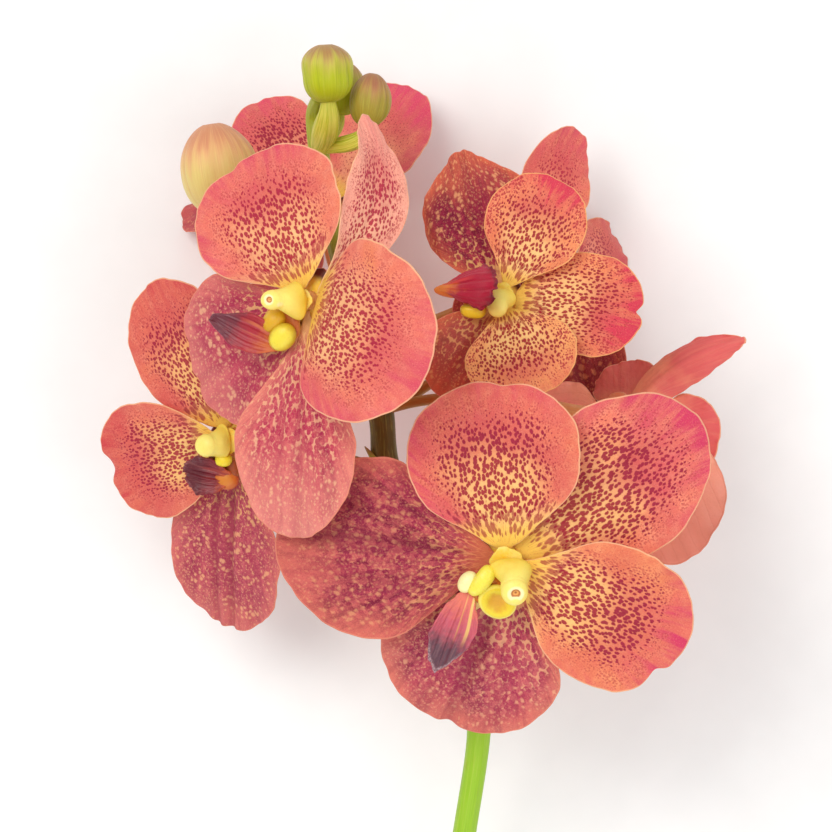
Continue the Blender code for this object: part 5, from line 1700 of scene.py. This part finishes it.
def lip_finish(name, own):
    """Waxy lip: the tongue turns from its base's colour to its tip's, with pale keels and a torn end; the
    flap, cup, throat, spur, nub and lobe have their own colours."""
    k = dict(LIPS)
    k.update(own)
    f = Finish(name, 0.4, 0.4, subsurface=0.1, coat=0.08)
    grow = f.attribute("grow")
    along, far, _ = f.split(f.attribute("zone"))
    u, _, part = f.split(f.attribute("lay"))
    rough = f.noise(grow, 0.6, 3.0)
    fine = f.noise(grow, 2.0, 4.0, 0.7)
    fibres = f.noise(f.scaled(f.attribute("fan"), (9.0, 2.0, 1.0)), 1.0, 4.0, 0.6)
    place = f.add(along, f.about(rough, 0.35))
    place = f.add(place, f.times(f.step(f.math("ABSOLUTE", u), 0.1, 0.8), k["side"] * 0.5))
    colour = f.mix(f.step(place, k["first"], k["turn"] * 0.9), srgb(*k["base"]), srgb(*k["middle"]))
    tip_from = k["tip_from"] or k["turn"] - 0.05
    colour = f.mix(f.step(place, tip_from, tip_from + 0.33), colour, srgb(*k["tip"]))
    colour = f.over(colour, fibres, 0.5, 0.72, k["fibre"], (130, 34, 48))
    colour = f.over(colour, fibres, 0.48, 0.3, k["fibre"] * 0.5, (230, 150, 140))
    keel = f.step(f.math("ABSOLUTE", f.math("SUBTRACT", u, k["keel_at"])), 0.1, 0.04)
    thin = f.step(f.math("ABSOLUTE", f.add(u, 0.12)), 0.05, 0.02)
    keel = f.math("MAXIMUM", keel, f.times(thin, 0.5))
    keel = f.times(keel, f.step(along, 0.66, 0.4), f.step(along, 0.02, 0.1), 0.85)
    colour = f.mix(keel, colour, srgb(*k["keel"]))
    torn = f.times(f.step(far, 0.86, 0.96), f.step(place, 0.6, 0.85), f.step(fine, 0.35, 0.6))
    colour = f.mix(f.times(torn, 0.75), colour, srgb(*k["ragged"]))
    colour = f.over(colour, fine, 0.55, 0.8, 0.2, (226, 150, 140))
    flap = f.mix(f.times(f.step(rough, 0.5, 0.75), 0.3), srgb(*k["flap"]), srgb(*k["flap_far"]))
    deeper = f.step(f.add(u, f.about(rough, 0.3)), 0.72, 0.98)
    inside = f.mix(deeper, srgb(*k["cup"]), srgb(*k["purse"]))
    cup = f.mix(f.step(u, 0.35, 0.62), srgb(*k["cup_rim"]), inside)
    # Painted shade: a lobe is darker away from its front and lighter where it faces forward.
    lobe = f.mix(f.step(f.add(u, f.times(rough, 0.4)), 0.5, 1.1), srgb(*k["lobe_painted_shade"]), srgb(*k["lobe"]))
    throat = f.mix(f.step(fine, 0.4, 0.7), srgb(*k["throat"]), srgb(168, 76, 22))
    throat = f.mix(f.step(u, 0.3, -0.4), throat, srgb(240, 190, 70))
    tones = {
        FLAP: flap, CUP: cup, THROAT_PART: throat, SPUR_PART: srgb(*k["spur"]), NUB: srgb(*k["flap_far"]),
        LOBE: lobe,
    }
    for number, tone in tones.items():
        colour = f.mix(f.step(part, number - 0.6, number - 0.4), colour, tone)
    colour = f.over(colour, fine, 0.5, 0.3, 0.12, (150, 80, 30))
    f.colour(colour)
    f.bump(f.add(f.times(fine, 0.6), f.times(fibres, 0.5)), 0.35, 0.00025)
    return f.material


def column_finish():
    """Lemon-yellow wax, yolk yellow at the foot and paler at the cap, with a cream collar round a brown ring
    and an orange pit where the pollen shows. The pad is yolk yellow, dark brown towards its rim as painted
    shade in the gaps between the claws, and salmon behind."""
    f = Finish("column_wax", 0.4, 0.4, subsurface=0.12, coat=0.06)
    grow = f.attribute("grow")
    along, apart, foot = f.split(f.attribute("zone"))
    rough = f.noise(grow, 0.5, 3.0)
    fine = f.noise(grow, 2.6, 4.0, 0.7)
    paler = f.step(f.add(along, f.times(rough, 0.3)), 0.25, 0.95)
    colour = f.mix(paler, srgb(242, 208, 66), srgb(248, 230, 116))
    colour = f.over(colour, fine, 0.5, 0.8, 0.35, (230, 188, 74))
    colour = f.over(colour, along, 0.2, 0.02, 0.7, (238, 192, 44))
    colour = f.over(colour, apart, 0.44, 0.32, 0.8, (252, 240, 190))
    colour = f.mix(f.step(apart, 0.27, 0.21), colour, srgb(186, 104, 36))
    colour = f.mix(f.step(apart, 0.2, 0.13), colour, srgb(232, 164, 84))
    colour = f.over(colour, apart, 0.12, 0.05, 0.85, (140, 60, 20))
    yolk = f.mix(f.step(rough, 0.3, 0.7), srgb(242, 200, 46), srgb(248, 220, 110))
    yolk = f.over(yolk, fine, 0.5, 0.78, 0.35, (226, 130, 50))
    # Painted shade: the pad turns dark brown towards its rim, where it shows in the gaps between the claws.
    pad = f.mix(f.step(along, 0.6, 0.85), yolk, srgb(96, 40, 26))
    colour = f.mix(f.step(foot, 0.4, 0.6), colour, yolk)
    colour = f.mix(f.step(foot, 1.7, 1.9), colour, pad)
    f.colour(f.mix(f.step(foot, 2.2, 2.4), colour, srgb(228, 142, 100)))
    f.bump(f.add(fine, f.times(rough, 0.5)), 0.3, 0.0002)
    return f.material


def bud_finish():
    """Satin bud: lime, olive or peach by its tint, with lengthwise veins, darker seams and a browner tip."""
    f = Finish("bud_satin", 0.48, 0.3, subsurface=0.1, sheen=0.05)
    grow = f.attribute("grow")
    along, seam, tint = f.split(f.attribute("zone"))
    rough = f.noise(grow, 0.3, 3.0)
    fibres = f.noise(f.scaled(grow, (2.2, 2.2, 0.35)), 1.0, 4.0, 0.65)
    olive = f.step(tint, 0.4, 0.6)
    cream = f.step(tint, 0.8, 0.95)
    height = f.add(along, f.about(rough, 0.5))
    low = f.mix(cream, f.mix(olive, srgb(184, 194, 18), srgb(166, 146, 50)), srgb(224, 200, 118))
    high = f.mix(cream, f.mix(olive, srgb(208, 190, 92), srgb(190, 138, 92)), srgb(232, 172, 120))
    top = f.mix(cream, f.mix(olive, srgb(176, 112, 84), srgb(170, 96, 80)), srgb(206, 132, 98))
    colour = f.mix(f.step(height, 0.4, 0.85), low, high)
    colour = f.mix(f.times(f.step(height, 0.64, 0.92), 0.85), colour, top)
    light = f.mix(cream, srgb(216, 214, 90), srgb(242, 208, 146))
    dark = f.mix(cream, srgb(132, 142, 16), srgb(204, 140, 94))
    colour = f.mix(f.times(f.step(fibres, 0.5, 0.72), 0.45), colour, light)
    colour = f.mix(f.times(f.step(fibres, 0.46, 0.3), 0.4), colour, dark)
    colour = f.mix(f.times(seam, 0.35), colour, dark)
    f.colour(colour)
    f.bump(f.add(fibres, f.times(rough, 0.5)), 0.4, 0.0003)
    return f.material


def stem_finish():
    """Fibrous stem: fresh green at the cut end, dark olive brown among the blooms, partly its own olive and
    partly painted shade from the blooms over it, and yellow-green at the buds; stalks pale towards their
    bloom, bracts dry at the tip, and the cut face pale with darker fibre ends."""
    f = Finish("stem_fibres", 0.46, 0.35, subsurface=0.05, coat=0.04)
    grow = f.attribute("grow")
    along, kind, cut = f.split(f.attribute("zone"))
    rough = f.noise(grow, 0.25, 3.0)
    fibres = f.noise(f.scaled(grow, (2.2, 2.2, 0.14)), 1.0, 4.0, 0.65)
    # Painted shade, in part: the rachis is darkest olive brown in its middle, where the blooms lie over it.
    low = f.mix(f.step(along, 0.34, 0.52), srgb(150, 194, 34), srgb(98, 86, 22))
    low = f.mix(f.step(along, 0.7, 0.84), low, srgb(160, 168, 40))
    stalk = f.mix(f.step(along, 0.1, 0.8), srgb(172, 112, 36), srgb(222, 146, 84))
    bud_stalk = f.mix(f.step(fibres, 0.4, 0.6), srgb(182, 186, 40), srgb(216, 210, 84))
    bract = f.mix(f.step(along, 0.45, 0.95), srgb(158, 168, 40), srgb(160, 112, 52))
    colour = f.mix(f.step(kind, 0.7, 0.8), low, stalk)
    colour = f.mix(f.step(kind, 1.2, 1.3), colour, bud_stalk)
    colour = f.mix(f.step(kind, 1.7, 1.8), colour, bract)
    colour = f.over(colour, fibres, 0.5, 0.75, 0.35, (206, 206, 96))
    colour = f.over(colour, fibres, 0.45, 0.25, 0.3, (76, 84, 16))
    colour = f.over(colour, rough, 0.55, 0.8, 0.2, (150, 96, 40))
    ends = f.spots(f.scaled(f.object_place(1000.0), (1.6, 1.6, 1.0)), 0.3, 0.1)
    face = f.mix(f.times(ends, 0.6), srgb(214, 220, 150), srgb(120, 140, 50))
    colour = f.mix(f.step(cut, 0.5, 0.9), colour, face)
    f.colour(colour)
    f.bump(f.add(fibres, f.times(rough, 0.4)), 0.45, 0.0003)
    return f.material


# Studio


def build_floor():
    """A plain pale table top with a barely uneven finish."""
    mesh = bpy.data.meshes.new("table_top")
    half = FLOOR_SIZE / 2.0
    z = CAD_BOX[0][2] - FLOOR_GAP
    corners = [(-half, -half, z), (half, -half, z), (half, half, z), (-half, half, z)]
    mesh.from_pydata(corners, [], [(0, 1, 2, 3)])
    floor = bpy.data.objects.new("table_top", mesh)
    bpy.context.scene.collection.objects.link(floor)
    f = Finish("table_pale", 0.7, 0.2)
    grain = f.noise(f.object_place(60.0), 1.0, 3.0)
    f.colour(f.mix(f.step(grain, 0.2, 0.8), srgb(246, 246, 245), srgb(250, 250, 249)))
    mesh.materials.append(f.material)


def build_light(name, at, size, power, colour):
    """A soft square light that looks at LIGHT_AIM."""
    data = bpy.data.lights.new(name, "AREA")
    data.shape = "SQUARE"
    data.size = size
    data.energy = power
    data.color = colour
    light = bpy.data.objects.new(name, data)
    light.location = at
    way = np.array(LIGHT_AIM) - np.array(at)
    light.rotation_euler = (
        math.acos(float(-way[2] / np.linalg.norm(way))),
        0.0,
        math.atan2(float(way[1]), float(way[0])) - math.pi / 2.0,
    )
    bpy.context.scene.collection.objects.link(light)


def build_studio():
    """The pale room light, three soft lights and the camera over the spray."""
    world = bpy.data.worlds.new("studio")
    world.use_nodes = True
    background = world.node_tree.nodes["Background"]
    background.inputs["Color"].default_value = (1.0, 1.0, 1.0, 1.0)
    background.inputs["Strength"].default_value = ROOM_LIGHT
    bpy.context.scene.world = world
    for name, values in LIGHTS.items():
        build_light(name, *values)
    bpy.context.scene.view_settings.view_transform = "Standard"
    data = bpy.data.cameras.new("camera")
    data.lens = CAMERA_LENS
    data.sensor_width = 36.0
    data.clip_start = 0.01
    data.clip_end = 20.0
    camera = bpy.data.objects.new("camera", data)
    camera.location = CAMERA_AT
    bpy.context.scene.collection.objects.link(camera)
    bpy.context.scene.camera = camera


def main():
    """Makes every finish, piece, light and the camera."""
    build_studio()
    build_floor()
    finishes = {}
    for bloom in BLOOMS:
        name = bloom["name"]
        finishes[name, "petal"] = petal_finish(name + "_petals", PETAL_KINDS.get(name, {}))
        finishes[name, "lateral"] = lateral_finish(name + "_laterals", LATERAL_KINDS.get(name, {}))
        finishes[name, "lip"] = lip_finish(name + "_lip_wax", LIP_KINDS.get(name, {}))
    for node, own in PETAL_OWN.items():
        finishes[node] = petal_finish(node + "_spotted", own)
    for node, own in LATERAL_OWN.items():
        finishes[node] = lateral_finish(node + "_mauve", own)
    build_blades(finishes)
    build_lips(finishes)
    build_columns(column_finish())
    build_buds(bud_finish())
    build_stem(stem_finish())


main()
